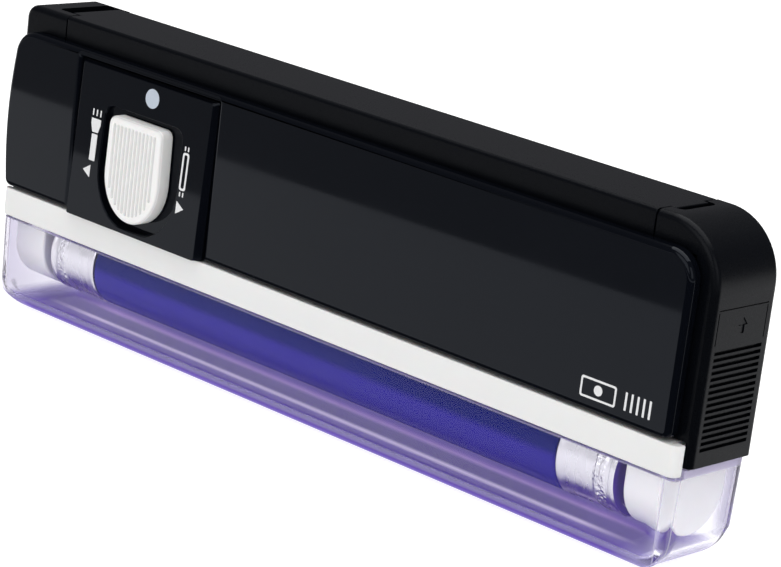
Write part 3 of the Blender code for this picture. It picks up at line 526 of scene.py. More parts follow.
def lamp_cap_metal():
    """Bright rolled cap, stamped with a band of small marks near its outer end."""
    n = Nodes("Lamp cap aluminium")
    around = n.noise(1.0, 2, vector=n.stretched(500, 120, 120))
    stamped = n.speckle(1500)
    off_band = n.away(n.away(n.across()["X"], LAMP_AXIS.x), LAMP_STAMP)
    inside = n.between(off_band, 1.0, 0.0, 0.8 * MM, 1.3 * MM)
    n.set(
        Base_Color=n.blend(around, (0.70, 0.69, 0.72), (0.83, 0.82, 0.85)),
        Roughness=n.between(around, 0.20, 0.34, 0.3, 0.7),
        Normal=n.bump(n.both(stamped, inside), 0.9, 0.25 * MM),
        Metallic=1.0,
    )
    return n.material


def plain_moulding(name, dark, light, roughness=0.45):
    n = Nodes(name)
    mottle = n.noise(300, 3)
    grain = n.noise(4000, 2)
    n.set(
        Base_Color=n.blend(mottle, dark, light),
        Roughness=n.between(grain, roughness - 0.08, roughness + 0.08, 0.3, 0.7),
        Normal=n.bump(grain, 0.2, 0.02 * MM),
    )
    return n.material


def copper_winding():
    n = Nodes("Enamelled copper winding")
    wave = n.add("ShaderNodeTexWave", Scale=1400.0, Distortion=0.6, Detail=2.0)
    wave.bands_direction = "Z"
    n.put(wave.inputs["Vector"], n.place)
    n.set(
        Base_Color=n.blend(wave.outputs["Fac"], (0.22, 0.07, 0.025), (0.72, 0.30, 0.12)),
        Roughness=n.between(wave.outputs["Fac"], 0.45, 0.25),
        Normal=n.bump(wave.outputs["Fac"], 0.7, 0.1 * MM),
        Metallic=0.8,
    )
    return n.material


def cell_jacket():
    """A dark foil jacket, for a battery cell or a capacitor can."""
    n = Nodes("Cell jacket")
    fine = n.noise(900, 3)
    n.set(
        Base_Color=n.blend(fine, (0.045, 0.048, 0.056), (0.062, 0.066, 0.078)),
        Roughness=n.between(fine, 0.24, 0.36),
        Normal=n.bump(fine, 0.05, 0.02 * MM),
        Metallic=0.55,
    )
    return n.material


def board_laminate():
    n = Nodes("Board laminate")
    tracks = n.noise(420, 1)
    lines = n.between(tracks, 0.0, 1.0, 0.49, 0.51)
    n.set(
        Base_Color=n.blend(lines, (0.010, 0.085, 0.035), (0.022, 0.130, 0.055)),
        Roughness=n.between(lines, 0.42, 0.30),
        Normal=n.bump(lines, 0.3, 0.04 * MM),
    )
    return n.material


def print_ink(name, colour):
    n = Nodes(name)
    fine = n.noise(5000, 2)
    n.set(
        Base_Color=n.blend(fine, tuple(c * 0.92 for c in colour), colour),
        Roughness=n.between(fine, 0.45, 0.6),
    )
    return n.material


def floor_paper():
    n = Nodes("Pale floor")
    fibre = n.noise(60, 4)
    n.set(
        Base_Color=n.blend(fibre, (0.50, 0.50, 0.50), (0.53, 0.53, 0.53)),
        Roughness=n.between(fibre, 0.85, 0.95),
        Emission_Color=(1.0, 1.0, 1.0, 1.0),
        Emission_Strength=0.78,
        Specular_IOR_Level=0.0,
    )
    return n.material


LAMP = Span("uv_tube")
LAMP_AXIS = LAMP.middle()
LAMP_STAMP = 65.0 * MM
GLOSS = gloss_black()
SATIN = satin_black()
WHITE = white_plastic()
# Painted light: the sockets take a lighter copy of the white plastic, to make up for the dimmer light under the
# cover.
BRIGHTENED_SOCKET_WHITE = white_plastic("Lamp socket white", (0.95, 0.95, 0.93))
KNOB_WHITE = white_plastic("Knob white", (0.89, 0.885, 0.87), Span("switch_knob").front)
CLEAR = clear_plastic()
LENS_CLEAR = clear_plastic(glow=False)
VIOLET = violet_glass()
PLATED = plated_metal()
CAP_METAL = lamp_cap_metal()
BRASS = plated_metal("Brass", (0.72, 0.53, 0.24), (0.22, 0.36))
GREY_MOULDING = plain_moulding("Dark grey moulding", (0.030, 0.031, 0.034), (0.045, 0.046, 0.050))
FERRITE = plain_moulding("Ferrite", (0.035, 0.034, 0.033), (0.060, 0.058, 0.056), 0.6)
AMBER = plain_moulding("Dipped lacquer", (0.45, 0.15, 0.02), (0.62, 0.24, 0.04), 0.25)
COPPER = copper_winding()
JACKET = cell_jacket()
BOARD = board_laminate()
WIRE = plain_moulding("Wire insulation", (0.36, 0.02, 0.015), (0.50, 0.04, 0.03), 0.4)
INSULATOR = plain_moulding("Lamp end insulator", (0.070, 0.030, 0.330), (0.100, 0.045, 0.430), 0.35)
MARK_GREY = print_ink("Pale blue-grey ink", (0.52, 0.58, 0.66))
MARK_WHITE = print_ink("White ink", (0.80, 0.80, 0.80))


# ------------------------------ black shells

PANEL = Span("front_housing")
PLATE = Span("switch_plate")
KNOB = Span("switch_knob")
SHELL = Span("rear_shell")
TORCH = Span("torch_cap")
DOOR = Span("battery_door")
TRAY = Span("lamp_tray")
COVER = Span("lens_cover")
PANEL_CORNER = 5.0 * MM
PANEL_BOW = 0.9 * MM
PANEL_WALL = 1.6 * MM
SKIRT = 2.3 * MM
SEAM_GAP = 0.15 * MM


def panel_shape(inset=0.0):
    """The panel from the front: square foot, round top, bowed left edge and a notch for the switch plate."""
    left, right, foot, top = PANEL.left + PANEL_BOW, PANEL.right, PANEL.foot, PANEL.top
    notch_left, notch_right = PLATE.left - SEAM_GAP, PLATE.right + SEAM_GAP
    notch_top = PLATE.top + SEAM_GAP
    lip = 0.35 * MM
    corners = [
        (left, foot, 1.5 * MM), (notch_left, foot, lip), (notch_left, notch_top, lip),
        (notch_right, notch_top, lip), (notch_right, foot, lip), (right, foot, 1.5 * MM),
        (right, top, PANEL_CORNER), (left, top, PANEL_CORNER),
    ]
    outline = rounded(corners)(inset)
    low, high = foot + 1.6 * MM, top - PANEL_CORNER
    for step in range(1, 16):
        t = step / 16
        outline.append((left + inset - PANEL_BOW * 4 * t * (1 - t), high + (low - high) * t))
    return outline


def make_panel():
    rear = PANEL.front + SKIRT
    panel = raw_object("front_panel", prism(panel_shape, "Y", PANEL.front, rear, 1.0 * MM, 0.1 * MM, 6))
    wall = 1.3 * MM
    hollow_foot, hollow_top = PANEL.foot + wall, PANEL.top - wall
    left_part = (PANEL.left + PANEL_BOW, PLATE.left - SEAM_GAP)
    right_part = (PLATE.right + SEAM_GAP, PANEL.right)
    for left, right in (left_part, right_part):
        hollow = rounded(rectangle(left + wall, right - wall, hollow_foot, hollow_top, 1.5 * MM))
        cut(panel, prism(hollow, "Y", PANEL.front + PANEL_WALL, rear + MM))
    for node in ("housing_screw_upper", "housing_screw_lower"):
        screw = Span(node).middle()
        root = PANEL.front + PANEL_WALL - 0.3 * MM
        back = PANEL.back
        profile = [(1.2 * MM, root), (2.5 * MM, root), (2.5 * MM, back - 0.3 * MM), (2.2 * MM, back),
                   (1.2 * MM, back)]
        join(panel, turned(profile, (screw.x, 0, screw.z), "Y", 32, ring=True))
    dress(panel, GLOSS, "housing", "front_housing")


KNOB_X = KNOB.middle().x
KNOB_HALF = (KNOB.right - KNOB.left) / 2
KNOB_TRAVEL = 2.2 * MM
KNOB_WAIST = KNOB.foot + 8.4 * MM
PLATE_LEAN = 1.1 * MM
POCKET_FLOOR = PANEL.front + 0.6 * MM


def knob_outline(grow=0.0, reach=0.0, foot_grow=None):
    """A tombstone, flat side up: nearly straight sides, and a foot of half an ellipse."""
    half = KNOB_HALF + grow
    top = KNOB.top + grow
    foot = KNOB.foot - (grow if foot_grow is None else foot_grow)
    corner = 1.5 * MM + grow / 2
    upper = round_corners([
        (KNOB_X + half + reach, KNOB_WAIST, 0),
        (KNOB_X + half * 0.97 + reach, top, corner),
        (KNOB_X - half * 0.97 - reach, top, corner),
        (KNOB_X - half - reach, KNOB_WAIST, 0),
    ])
    lower = []
    steps = 28
    for step in range(1, steps):
        angle = math.pi + math.pi * step / steps
        side = reach if math.cos(angle) > 0 else -reach
        shift = side if abs(math.cos(angle)) > 1e-6 else 0
        height = KNOB_WAIST + (KNOB_WAIST - foot) * math.sin(angle)
        lower.append((KNOB_X + half * math.cos(angle) + shift, height))
    return upper + lower


def plate_front(z):
    """The switch plate's front face leans back towards its top."""
    t = (z - PLATE.foot) / (PLATE.top - PLATE.foot)
    return PLATE.front + PLATE_LEAN * t


def leaned(bm):
    """Leans the front of an upright plate, and leaves its back where it is."""
    for vert in bm.verts:
        share = (vert.co.y - PLATE.back) / (PLATE.front - PLATE.back)
        vert.co.y = PLATE.back + share * (plate_front(vert.co.z) - PLATE.back)
    return bm


def make_plate():
    corners = [
        (PLATE.left, PLATE.foot, 0.3 * MM), (PLATE.right, PLATE.foot, 0.3 * MM),
        (PLATE.right, PLATE.top, 0.5 * MM), (PLATE.left, PLATE.top, 0.5 * MM),
    ]
    outline = round_corners(corners, 4)
    wide, deep, soft = 0.95 * MM, 1.15 * MM, 0.12 * MM
    pairs = [(PLATE.front, wide + soft), (PLATE.front + soft * 0.4, wide + soft * 0.3),
             (PLATE.front + soft, wide - soft * 0.2), (PLATE.front + deep - soft, soft * 1.2),
             (PLATE.front + deep, soft * 0.3), (PLATE.front + deep + soft, 0.0), (PLATE.back, 0.0)]
    rings = []
    for level, inset in pairs:
        points = []
        for u, v in outline:
            left_or_right = inset if u < PLATE.middle().x else -inset
            top_shift = -inset * 0.5 if v > PLATE.middle().z else 0.0
            points.append((u + left_or_right, level, v + top_shift))
        rings.append(points)
    plate = raw_object("switch_bezel", leaned(lofted(rings)))
    lip = 0.22 * MM
    rings = []
    for depth, inset in ((-MM, -lip), (0.0, -lip), (0.3 * lip, -0.45 * lip), (lip, 0.0), (None, 0.12 * MM)):
        ring = []
        for u, v in knob_outline(0.9 * MM - inset, KNOB_TRAVEL, 1.6 * MM - inset):
            ring.append((u, POCKET_FLOOR if depth is None else plate_front(v) + depth, v))
        rings.append(ring)
    cut(plate, lofted(rings))
    slot = KNOB_TRAVEL + 1.8 * MM
    slot_depth = (POCKET_FLOOR - MM, PLATE.back + MM)
    cut(plate, box((KNOB_X - slot, KNOB_X + slot), slot_depth, (30.6 * MM, 35.4 * MM)))
    dress(plate, GLOSS, "housing", "switch_plate")


def make_knob():
    base = POCKET_FLOOR - 0.3 * MM
    shape = lambda inset: knob_outline(-inset)
    knob = raw_object("slide_knob", prism(shape, "Y", KNOB.front, base, 0.7 * MM, 0.0, 6))
    grooves = []
    pitch, radius, depth = 0.96 * MM, 0.37 * MM, 0.34 * MM
    field = KNOB_HALF - 1.3 * MM
    top = KNOB.top - 1.2 * MM
    count = 12
    for index in range(count):
        x = KNOB_X + (index - (count - 1) / 2) * pitch
        across = (x - KNOB_X) / field
        foot = KNOB_WAIST - (KNOB_WAIST - KNOB.foot - 1.3 * MM) * math.sqrt(max(0.0, 1 - across**2))
        end = [(radius * math.sin(a), foot + radius * (1 - math.cos(a))) for a in
               (math.radians(angle) for angle in (0, 30, 60, 90))]
        start = [(radius * math.cos(a), top - radius * (1 - math.sin(a))) for a in
                 (math.radians(angle) for angle in (0, 30, 60, 90))]
        grooves.append(turned(end + start, (x, KNOB.front - radius + depth, 0), "Z", 16))
    cut(knob, merged(grooves))
    stem = box((KNOB_X - 1.6 * MM, KNOB_X + 1.6 * MM), (base - 0.4 * MM, KNOB.back), (31 * MM, 35 * MM))
    join(knob, stem)
    dress(knob, KNOB_WHITE, "slider", "switch_knob", sharp=40)


def shell_section(front, wall):
    """The rear shell's C-shaped section: back wall, top wall and a lip down the front."""
    lip_foot = PANEL.top - 0.8 * MM
    back, foot, top = SHELL.back, SHELL.foot, SHELL.top
    return rounded([
        (back, foot, 0.3 * MM), (back, top, 1.3 * MM), (front, top, 0.7 * MM), (front, lip_foot, 0.2 * MM),
        (front + wall, lip_foot, 0.2 * MM), (front + wall, top - wall, 0.5 * MM),
        (back - wall, top - wall, 0.5 * MM), (back - wall, foot, 0.2 * MM),
    ], 6)


WALL = 1.5 * MM
TONGUE_THICK = 0.85 * MM
SCOOP_FLOOR = 54.9 * MM
LEFT_SEAM = TORCH.right + SEAM_GAP
RIGHT_SEAM = DOOR.left - SEAM_GAP


def make_rear_shell():
    left, right = LEFT_SEAM + SEAM_GAP, RIGHT_SEAM - SEAM_GAP
    section = shell_section(SHELL.front, WALL)
    shell = raw_object("rear_case", prism(section, "X", left, right, 0.12 * MM, 0.12 * MM, 2))
    tongue = (SHELL.top - TONGUE_THICK, SHELL.top)
    join(shell, box((SHELL.left, left + MM), (-2.3 * MM, 9.2 * MM), tongue, 0.2 * MM))
    join(shell, box((right - MM, SHELL.right), (-1.8 * MM, 6.3 * MM), tongue, 0.2 * MM))
    for node in ("housing_screw_upper", "housing_screw_lower"):
        screw = Span(node).middle()
        centre = (screw.x, 0, screw.z)
        back = SHELL.back
        tower = [(1.2 * MM, 7.0 * MM), (3.4 * MM, 7.0 * MM), (3.4 * MM, back - MM), (1.2 * MM, back - MM)]
        join(shell, turned(tower, centre, "Y", 32, ring=True))
        bore = [(0, 6 * MM), (1.2 * MM, 6 * MM), (1.2 * MM, back - 1.1 * MM), (2.3 * MM, back - 1.1 * MM),
                (2.3 * MM, back - 0.15 * MM), (2.6 * MM, back + 0.1 * MM), (2.6 * MM, back + MM),
                (0, back + MM)]
        cut(shell, turned(bore, centre, "Y", 32))
    dress(shell, SATIN, "housing", "rear_shell")


def end_cap(name, seam, end, corner):
    """One end of the rear shell: front, back, top and end walls, open below and towards the middle."""
    side = 1 if end > seam else -1
    foot, top, front, back = SHELL.foot, SHELL.top, SHELL.front, SHELL.back
    spare = 3 * MM
    beyond, below = seam - side * spare, foot - spare
    shape = rounded([(beyond, below, 0), (end, below, 0), (end, top, corner), (beyond, top, 0)], 20)
    cap = raw_object(name, prism(shape, "Y", front, back, 1.2 * MM, 1.0 * MM, 6))
    inner_end, inner_top = end - side * WALL, top - 2 * MM
    hollow = max(corner - WALL, MM)
    cavity = rounded([
        (beyond - side * MM, below - MM, 0), (inner_end, below - MM, 0),
        (inner_end, inner_top, hollow), (beyond - side * MM, inner_top, 0),
    ], 12)
    cut(cap, prism(cavity, "Y", front + WALL, back - WALL))
    low, high = sorted((beyond - side * MM, seam))
    cut(cap, box((low, high), (front - MM, back + MM), (below - MM, top + MM)))
    low, high = sorted((seam - side * MM, end + side * MM))
    cut(cap, box((low, high), (front - MM, back + MM), (below - MM, foot)))
    return cap


def thumbnail_scoop(seam, far, front, back):
    shape = rounded([(seam, front, 0), (far, front, 1.2 * MM), (far, back, 1.2 * MM), (seam, back, 0)])
    return prism(shape, "Z", SCOOP_FLOOR, SHELL.top + MM)


def make_battery_door():
    seam = DOOR.left
    door = end_cap("battery_door_cap", seam, DOOR.right, 10.5 * MM)
    front_cut = (DOOR.front - MM, DOOR.front + WALL + 0.1 * MM)
    cut(door, box((seam - MM, DOOR.right - WALL), front_cut, (DOOR.foot - MM, PANEL.foot)))
    room_end, room_top = 77.2 * MM, 50.9 * MM
    cut(door, box((seam - MM, room_end), front_cut, (PANEL.foot - MM, room_top)))
    cut(door, thumbnail_scoop(seam - MM, 70.9 * MM, -2.2 * MM, 6.7 * MM))
    grooves = []
    count, pitch, width = 16, 1.04 * MM, 0.62 * MM
    lowest = 20.3 * MM
    face, bottom = DOOR.right, DOOR.right - 0.6 * MM
    for index in range(count):
        foot = lowest + index * pitch
        profile = [(face + MM, foot - 0.3 * MM), (face, foot), (bottom, foot + 0.12 * MM),
                   (bottom, foot + width - 0.12 * MM), (face, foot + width),
                   (face + MM, foot + width + 0.3 * MM)]
        grooves.append(prism(lambda inset: profile, "Y", -3.6 * MM, 8.4 * MM))
    cut(door, merged(grooves))
    depth, line = 0.18 * MM, 0.22 * MM
    frame_top, frame_foot, frame_front, frame_back = 43.2 * MM, 37.4 * MM, -3.9 * MM, 8.6 * MM
    engraved = [(frame_front, frame_back, frame_top - line, frame_top),
                (frame_front, frame_front + line, frame_foot, frame_top - 2 * line),
                (frame_back - line, frame_back, frame_foot, frame_top - 2 * line)]
    lines = [box((DOOR.right - depth, DOOR.right + MM), (y0, y1), (z0, z1)) for y0, y1, z0, z1 in engraved]
    middle, tip = 2.7 * MM, 41.4 * MM
    arrow = [(middle, tip), (middle - 1.2 * MM, tip - 1.3 * MM), (middle - 0.4 * MM, tip - 1.3 * MM),
             (middle - 0.4 * MM, tip - 2.6 * MM), (middle + 0.4 * MM, tip - 2.6 * MM),
             (middle + 0.4 * MM, tip - 1.3 * MM), (middle + 1.2 * MM, tip - 1.3 * MM)]
    lines.append(prism(lambda inset: arrow, "X", DOOR.right - depth, DOOR.right + MM))
    cut(door, merged(lines))
    dress(door, SATIN, "door", "battery_door")


def make_torch_cap():
    seam = TORCH.right
    cap = end_cap("torch_end_cap", seam, TORCH.left, 2.5 * MM)
    inner_end = TORCH.left + WALL
    cut(cap, box((inner_end, seam + MM), (TORCH.front - MM, TORCH.front + WALL + 0.1 * MM),
                 (TORCH.foot - MM, PANEL.foot)))
    cut(cap, thumbnail_scoop(seam + MM, -75.7 * MM, -2.7 * MM, 9.6 * MM))
    join(cap, box((inner_end - 0.5 * MM, seam), (TORCH.front + 0.5 * MM, TORCH.back - 0.5 * MM),
                  (PANEL.foot, PANEL.foot + 1.2 * MM)))
    lens = Span("torch_lens").middle()
    face = TORCH.left
    mouth = [(0, face - MM), (6.3 * MM, face - MM), (6.3 * MM, face), (5.7 * MM, face + 0.5 * MM),
             (5.6 * MM, face + 3 * MM), (0, face + 3 * MM)]
    cut(cap, turned(mouth, (0, lens.y, lens.z), "X", 48))
    dress(cap, SATIN, "torch", "torch_cap")


# ------------------------------ lamp


def make_tray():
    strip_top = PANEL.foot - 0.3 * MM
    strip_back, return_back = TRAY.front + 1.4 * MM, -5.8 * MM
    deck_foot = strip_top - 0.8 * MM
    plan = rounded([
        (TRAY.left, TRAY.front, 1.0 * MM), (TRAY.right, TRAY.front, 1.5 * MM),
        (TRAY.right, return_back, 0.3 * MM), (TRAY.right - 1.7 * MM, return_back, 0.2 * MM),
        (TRAY.right - 1.7 * MM, strip_back, 0.2 * MM), (TRAY.left, strip_back, 0.3 * MM),
    ])
    tray = raw_object("lamp_deck", prism(plan, "Z", TRAY.foot, strip_top, 0.28 * MM, 0.18 * MM, 4))
    deck_x = (-79.3 * MM, 78.7 * MM)
    join(tray, box(deck_x, (TRAY.front + 0.7 * MM, TRAY.back), (deck_foot, strip_top - 0.02 * MM)))
    join(tray, box(deck_x, (TRAY.back - MM, TRAY.back - 0.02 * MM), (17.9 * MM, deck_foot + 0.4 * MM)))
    for low, high in ((-72.2 * MM, -67.6 * MM), (71.2 * MM, 73.8 * MM)):
        cut(tray, box((low, high), (6.6 * MM, 9 * MM), (17 * MM, 22 * MM)))
    dress(tray, WHITE, "housing", "lamp_tray")


def make_holders():
    for name in ("left", "right"):
        span = Span(f"lamp_holder_{name}")
        near, far = span.ends(name)
        inward = 1 if near > far else -1
        radius = LAMP_AXIS.y - span.front
        shoulder = 17.6 * MM
        profile = arc(LAMP_AXIS.y, LAMP_AXIS.z, radius, 180, 360, 40)
        profile += [(LAMP_AXIS.y + radius, shoulder), (6.3 * MM, shoulder), (6.3 * MM, span.top),
                    (span.front, span.top)]
        low, high = sorted((near, far))
        shape = lambda inset: inset_outline(profile, inset)
        holder = raw_object(f"lamp_socket_{name}", prism(shape, "X", low, high, 0.5 * MM, 0.5 * MM, 4))
        depth = 5.2 * MM
        mouth, end = near + inward * MM, near - inward * depth
        cavity = [(0, mouth), (4.3 * MM, mouth), (4.3 * MM, near), (4.0 * MM, near - inward * 0.3 * MM),
                  (4.0 * MM, end), (0, end)]
        cut(holder, turned(cavity, (0, LAMP_AXIS.y, LAMP_AXIS.z), "X", 40))
        slot = sorted((mouth, end))
        cut(holder, box(slot, (LAMP_AXIS.y - 1.5 * MM, LAMP_AXIS.y + 1.5 * MM), (3 * MM, LAMP_AXIS.z)))
        dress(holder, BRIGHTENED_SOCKET_WHITE, "housing", f"lamp_holder_{name}")


def make_tube():
    radius = (LAMP.top - LAMP.foot) / 2
    centre = (0, LAMP_AXIS.y, LAMP_AXIS.z)
    wall, soft = 0.7 * MM, 0.25 * MM
    outer = [(radius - wall, LAMP.left), (radius - soft, LAMP.left), (radius, LAMP.left + soft),
             (radius, LAMP.right - soft), (radius - soft, LAMP.right), (radius - wall, LAMP.right)]
    tube = raw_object("violet_tube", turned(outer, centre, "X", 96, ring=True))
    dress(tube, VIOLET, "lamp", "uv_tube")
    for name in ("left", "right"):
        span = Span(f"tube_cap_{name}")
        inner, outer_face = span.ends(name)
        out = 1 if outer_face > inner else -1
        size = (span.top - span.foot) / 2

        def at(distance):
            """A distance along the cap, from its outer face towards the glass."""
            return outer_face - out * distance * MM

        length = abs(outer_face - inner) / MM
        steps = [(1.5, 0.25), (1.3, 0), (0.75, 0), (0.25, 0.12), (0, 0.5), (0, 0.9), (0.18, 1.15),
                 (0.18, 3.2), (0, 3.45), (0, 3.8), (0.12, 4.0), (0.12, length - 1.4), (0, length - 1.1),
                 (0, length - 0.25), (0.2, length), (0.5, length), (0.5, 1.4)]
        profile = [(size - inset * MM, at(distance)) for inset, distance in steps]
        profile = [(0, at(0.25)), *profile, (0, at(1.4))]
        cap = raw_object(f"lamp_cap_{name}", turned(profile, centre, "X", 96))
        dress(cap, CAP_METAL, "lamp", f"tube_cap_{name}")
        cap.data.materials.append(INSULATOR)
        for face in cap.data.polygons:
            near_face = abs(face.center.x - outer_face) < 0.3 * MM
            if near_face and abs(face.normal.x) > 0.9:
                face.material_index = 1


def soft_box(name, corners, radii, segments=10):
    """A box from eight corner points, with each edge's own radius under the two sides that it joins."""
    bm = bmesh.new()
    verts = {key: bm.verts.new(point) for key, point in corners.items()}
    for axis in range(3):
        for sign in "-+":
            face = [key for key in corners if key[axis] == sign]
            first, second = [i for i in range(3) if i != axis]
            order = [("-", "-"), ("+", "-"), ("+", "+"), ("-", "+")]
            loop = [next(k for k in face if (k[first], k[second]) == pair) for pair in order]
            bm.faces.new([verts[key] for key in loop])
    bmesh.ops.recalc_face_normals(bm, faces=bm.faces)
    largest = max(radii.values())
    weight = bm.edges.layers.float.new("bevel_weight_edge")
    names = {vert: key for key, vert in verts.items()}
    for edge in bm.edges:
        one, two = (names[vert] for vert in edge.verts)
        shared = "".join(a if a == b else "." for a, b in zip(one, two))
        edge[weight] = radii.get(shared, 0.0) / largest
    obj = raw_object(name, bm)
    bevel = obj.modifiers.new("Round", "BEVEL")
    bevel.limit_method = "WEIGHT"
    bevel.width = largest
    bevel.segments = segments
    bevel.use_clamp_overlap = False
    settle(obj)
    return obj


def cover_corners(inset, foot, top):
    """The lamp cover's eight corners. Its ends lean in a little towards the foot."""
    points = {}
    for x_sign in "-+":
        for y_sign in "-+":
            for z_sign in "-+":
                lean = 0.6 * MM if z_sign == "-" else 0.0
                x = COVER.left + inset + lean if x_sign == "-" else COVER.right - inset - lean
                y = COVER.front + inset if y_sign == "-" else COVER.back - inset
                points[x_sign + y_sign + z_sign] = (x, y, foot if z_sign == "-" else top)
    return points


def cover_radii(inset):
    """Edges by the sides they lie between: x, y, z signs, with a dot for the edge's own direction."""
    return {
        "-.-": 9.0 * MM - inset,
        "+.-": 5.5 * MM - inset,
        ".--": 2.2 * MM - inset * 0.7,
        ".+-": 6.0 * MM - inset,
        "--.": 1.6 * MM - inset * 0.6,
        "+-.": 1.1 * MM + inset * 2.0,
        "-+.": 1.8 * MM - inset * 0.6,
        "++.": 1.8 * MM - inset * 0.6,
    }


def make_cover():
    wall, floor = 1.0 * MM, 1.2 * MM
    cover = soft_box("clear_cover", cover_corners(0.0, COVER.foot, COVER.top), cover_radii(0.0))
    hollow = cover_corners(wall, COVER.foot + floor, COVER.top + 3 * MM)
    cut(cover, soft_box("hollow", hollow, cover_radii(wall)))
    front_rim = TRAY.foot - 0.3 * MM
    over_all = (COVER.left - MM, COVER.right + MM)
    cut(cover, box(over_all, (COVER.front - 3 * MM, -5.5 * MM), (front_rim, COVER.top + MM)))
    dress(cover, CLEAR, "cover", "lens_cover")


# ------------------------------ printed marks


def printed(name, shapes, surface, material):
    """Ink on a front face: flat outlines in (x, z) laid on surface(z), some with holes."""
    whole = None
    for outline, hole in shapes:
        piece = raw_object(name, prism(lambda inset: outline, "Y", -0.04 * MM, 0.03 * MM))
        if hole:
            cut(piece, prism(lambda inset: hole, "Y", -0.2 * MM, 0.2 * MM))
        if whole is None:
            whole = piece
        else:
            join(whole, piece)
    for vert in whole.data.vertices:
        vert.co.y += surface(vert.co.z)
    dress(whole, material, "housing")


def disc(x, z, radius, steps=32):
    return arc(x, z, radius, 0, 360 * (steps - 1) / steps, steps - 1)


def bar(left, right, foot, top, corner=0.15 * MM):
    return rounded(rectangle(left, right, foot, top, corner), 3)()


def stroke(x, shift, foot, top):
    """A thin upright stroke, shifted from x by a number of millimetres, for printed()."""
    return bar(x + (shift - 0.15) * MM, x + (shift + 0.15) * MM, foot, top, 0.05 * MM), None


def arrowhead(tip_x, z, side):
    back = tip_x - side * 1.9 * MM
    return [(tip_x, z), (back, z + 1.15 * MM), (back, z - 1.15 * MM)]


def make_marks():
    """Generic signs where the object carries printing: a dot, a torch, a tube, and a banknote with bars."""
    printed("index_dot", [(disc(-42.5 * MM, 47.2 * MM, 1.75 * MM), None)], plate_front, MARK_GREY)
    x, foot = -56.2 * MM, 32.6 * MM
    half, wide = 0.75 * MM, 1.25 * MM
    neck, shoulder, top = foot + 5.2 * MM, foot + 6.7 * MM, foot + 7.7 * MM
    head = [(x - half, neck), (x + half, neck), (x + wide, shoulder), (x + wide, top), (x - wide, top),
            (x - wide, shoulder)]
    torch = [(bar(x - half, x + half, foot, foot + 4.9 * MM), None), (head, None)]
    torch += [stroke(x, shift, foot + 8.2 * MM, foot + 9.4 * MM) for shift in (-1.0, 0.0, 1.0)]
    printed("torch_sign", torch, plate_front, MARK_WHITE)
    printed("torch_arrow", [(arrowhead(-58.2 * MM, 30.6 * MM, -1), None)], plate_front, MARK_WHITE)
    x, foot = -32.2 * MM, 32.0 * MM
    tube = [(bar(x - 0.8 * MM, x + 0.8 * MM, foot + 1.1 * MM, foot + 7.9 * MM, 0.5 * MM),
             bar(x - 0.4 * MM, x + 0.4 * MM, foot + 1.5 * MM, foot + 7.5 * MM, 0.3 * MM))]
    for low in (foot, foot + 8.2 * MM):
        tube += [stroke(x, shift, low, low + 0.8 * MM) for shift in (-0.4, 0.4)]
    printed("tube_sign", tube, plate_front, MARK_WHITE)
    printed("tube_arrow", [(arrowhead(-31.2 * MM, 29.9 * MM, 1), None)], plate_front, MARK_WHITE)
    left, foot = 60.6 * MM, 23.9 * MM
    note = [(bar(left, left + 7.2 * MM, foot, foot + 3.4 * MM, 0.4 * MM),
             bar(left + 0.35 * MM, left + 6.85 * MM, foot + 0.35 * MM, foot + 3.05 * MM, 0.2 * MM)),
            (disc(left + 3.6 * MM, foot + 1.7 * MM, 0.85 * MM), None)]
    for index in range(5):
        x = left + 9.0 * MM + index * 1.2 * MM
        note.append((bar(x, x + 0.4 * MM, foot + 0.2 * MM, foot + 3.2 * MM, 0.1 * MM), None))
    printed("banknote_sign", note, lambda z: PANEL.front, MARK_WHITE)


# ------------------------------ carried-over CAD pieces


def soften(node, width):
    """A small bevel on a carried-over CAD piece."""
    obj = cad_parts[node]
    bevel = obj.modifiers.new("Soft edges", "BEVEL")
    bevel.width = width
    bevel.segments = 2
    bevel.limit_method = "ANGLE"
    bevel.angle_limit = math.radians(50)


def finish_cad_nodes():
    """Gives each CAD node that is kept its finish, and five of them softer edges."""
    cells = [f"battery_cell_{number}" for number in range(1, 5)]
    pins = [f"tube_pin_{side}_{place}" for side in ("left", "right") for place in ("front", "back")]
    finishes = [
        (LENS_CLEAR, ["torch_lens", "torch_bulb"]),
        (PLATED, ["torch_reflector", "lamp_reflector", "switch_body", "door_contact_plate",
                  "door_contact_spring", "cradle_contact_spring", "cradle_contact_leaf",
                  "housing_screw_upper", "housing_screw_lower"]),
        (GREY_MOULDING, ["torch_bulb_holder", "knob_slider_plate", "switch_actuator",
                         "switching_transistor", "battery_cradle"]),
        (BOARD, ["circuit_board"]),
        (FERRITE, ["transformer_core"]),
        (COPPER, ["transformer_winding"]),
        (AMBER, ["film_capacitor", "resistor"]),
        (WIRE, ["lamp_lead_left", "lamp_lead_right"]),
        (JACKET, ["electrolytic_capacitor", *cells]),
        (BRASS, pins),
    ]
    for material, nodes in finishes:
        for node in nodes:
            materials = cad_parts[node].data.materials
            if not materials:
                materials.append(material)
            for index in range(len(materials)):
                materials[index] = material
    for node in ("transformer_core", "switching_transistor", "film_capacitor", "knob_slider_plate",
                 "switch_body"):
        soften(node, 0.25 * MM)


# ------------------------------ studio


def aim(obj, target):
    obj.rotation_mode = "QUATERNION"
    obj.rotation_quaternion = (Vector(target) - obj.location).to_track_quat("-Z", "Y")


def softbox(name, location, target, size, power):
    light = bpy.data.lights.new(name, "AREA")
    light.shape = "RECTANGLE"
    light.size, light.size_y = size
    light.energy = power
    lamp = bpy.data.objects.new(name, light)
    lamp.location = location
    aim(lamp, target)
    bpy.context.scene.collection.objects.link(lamp)


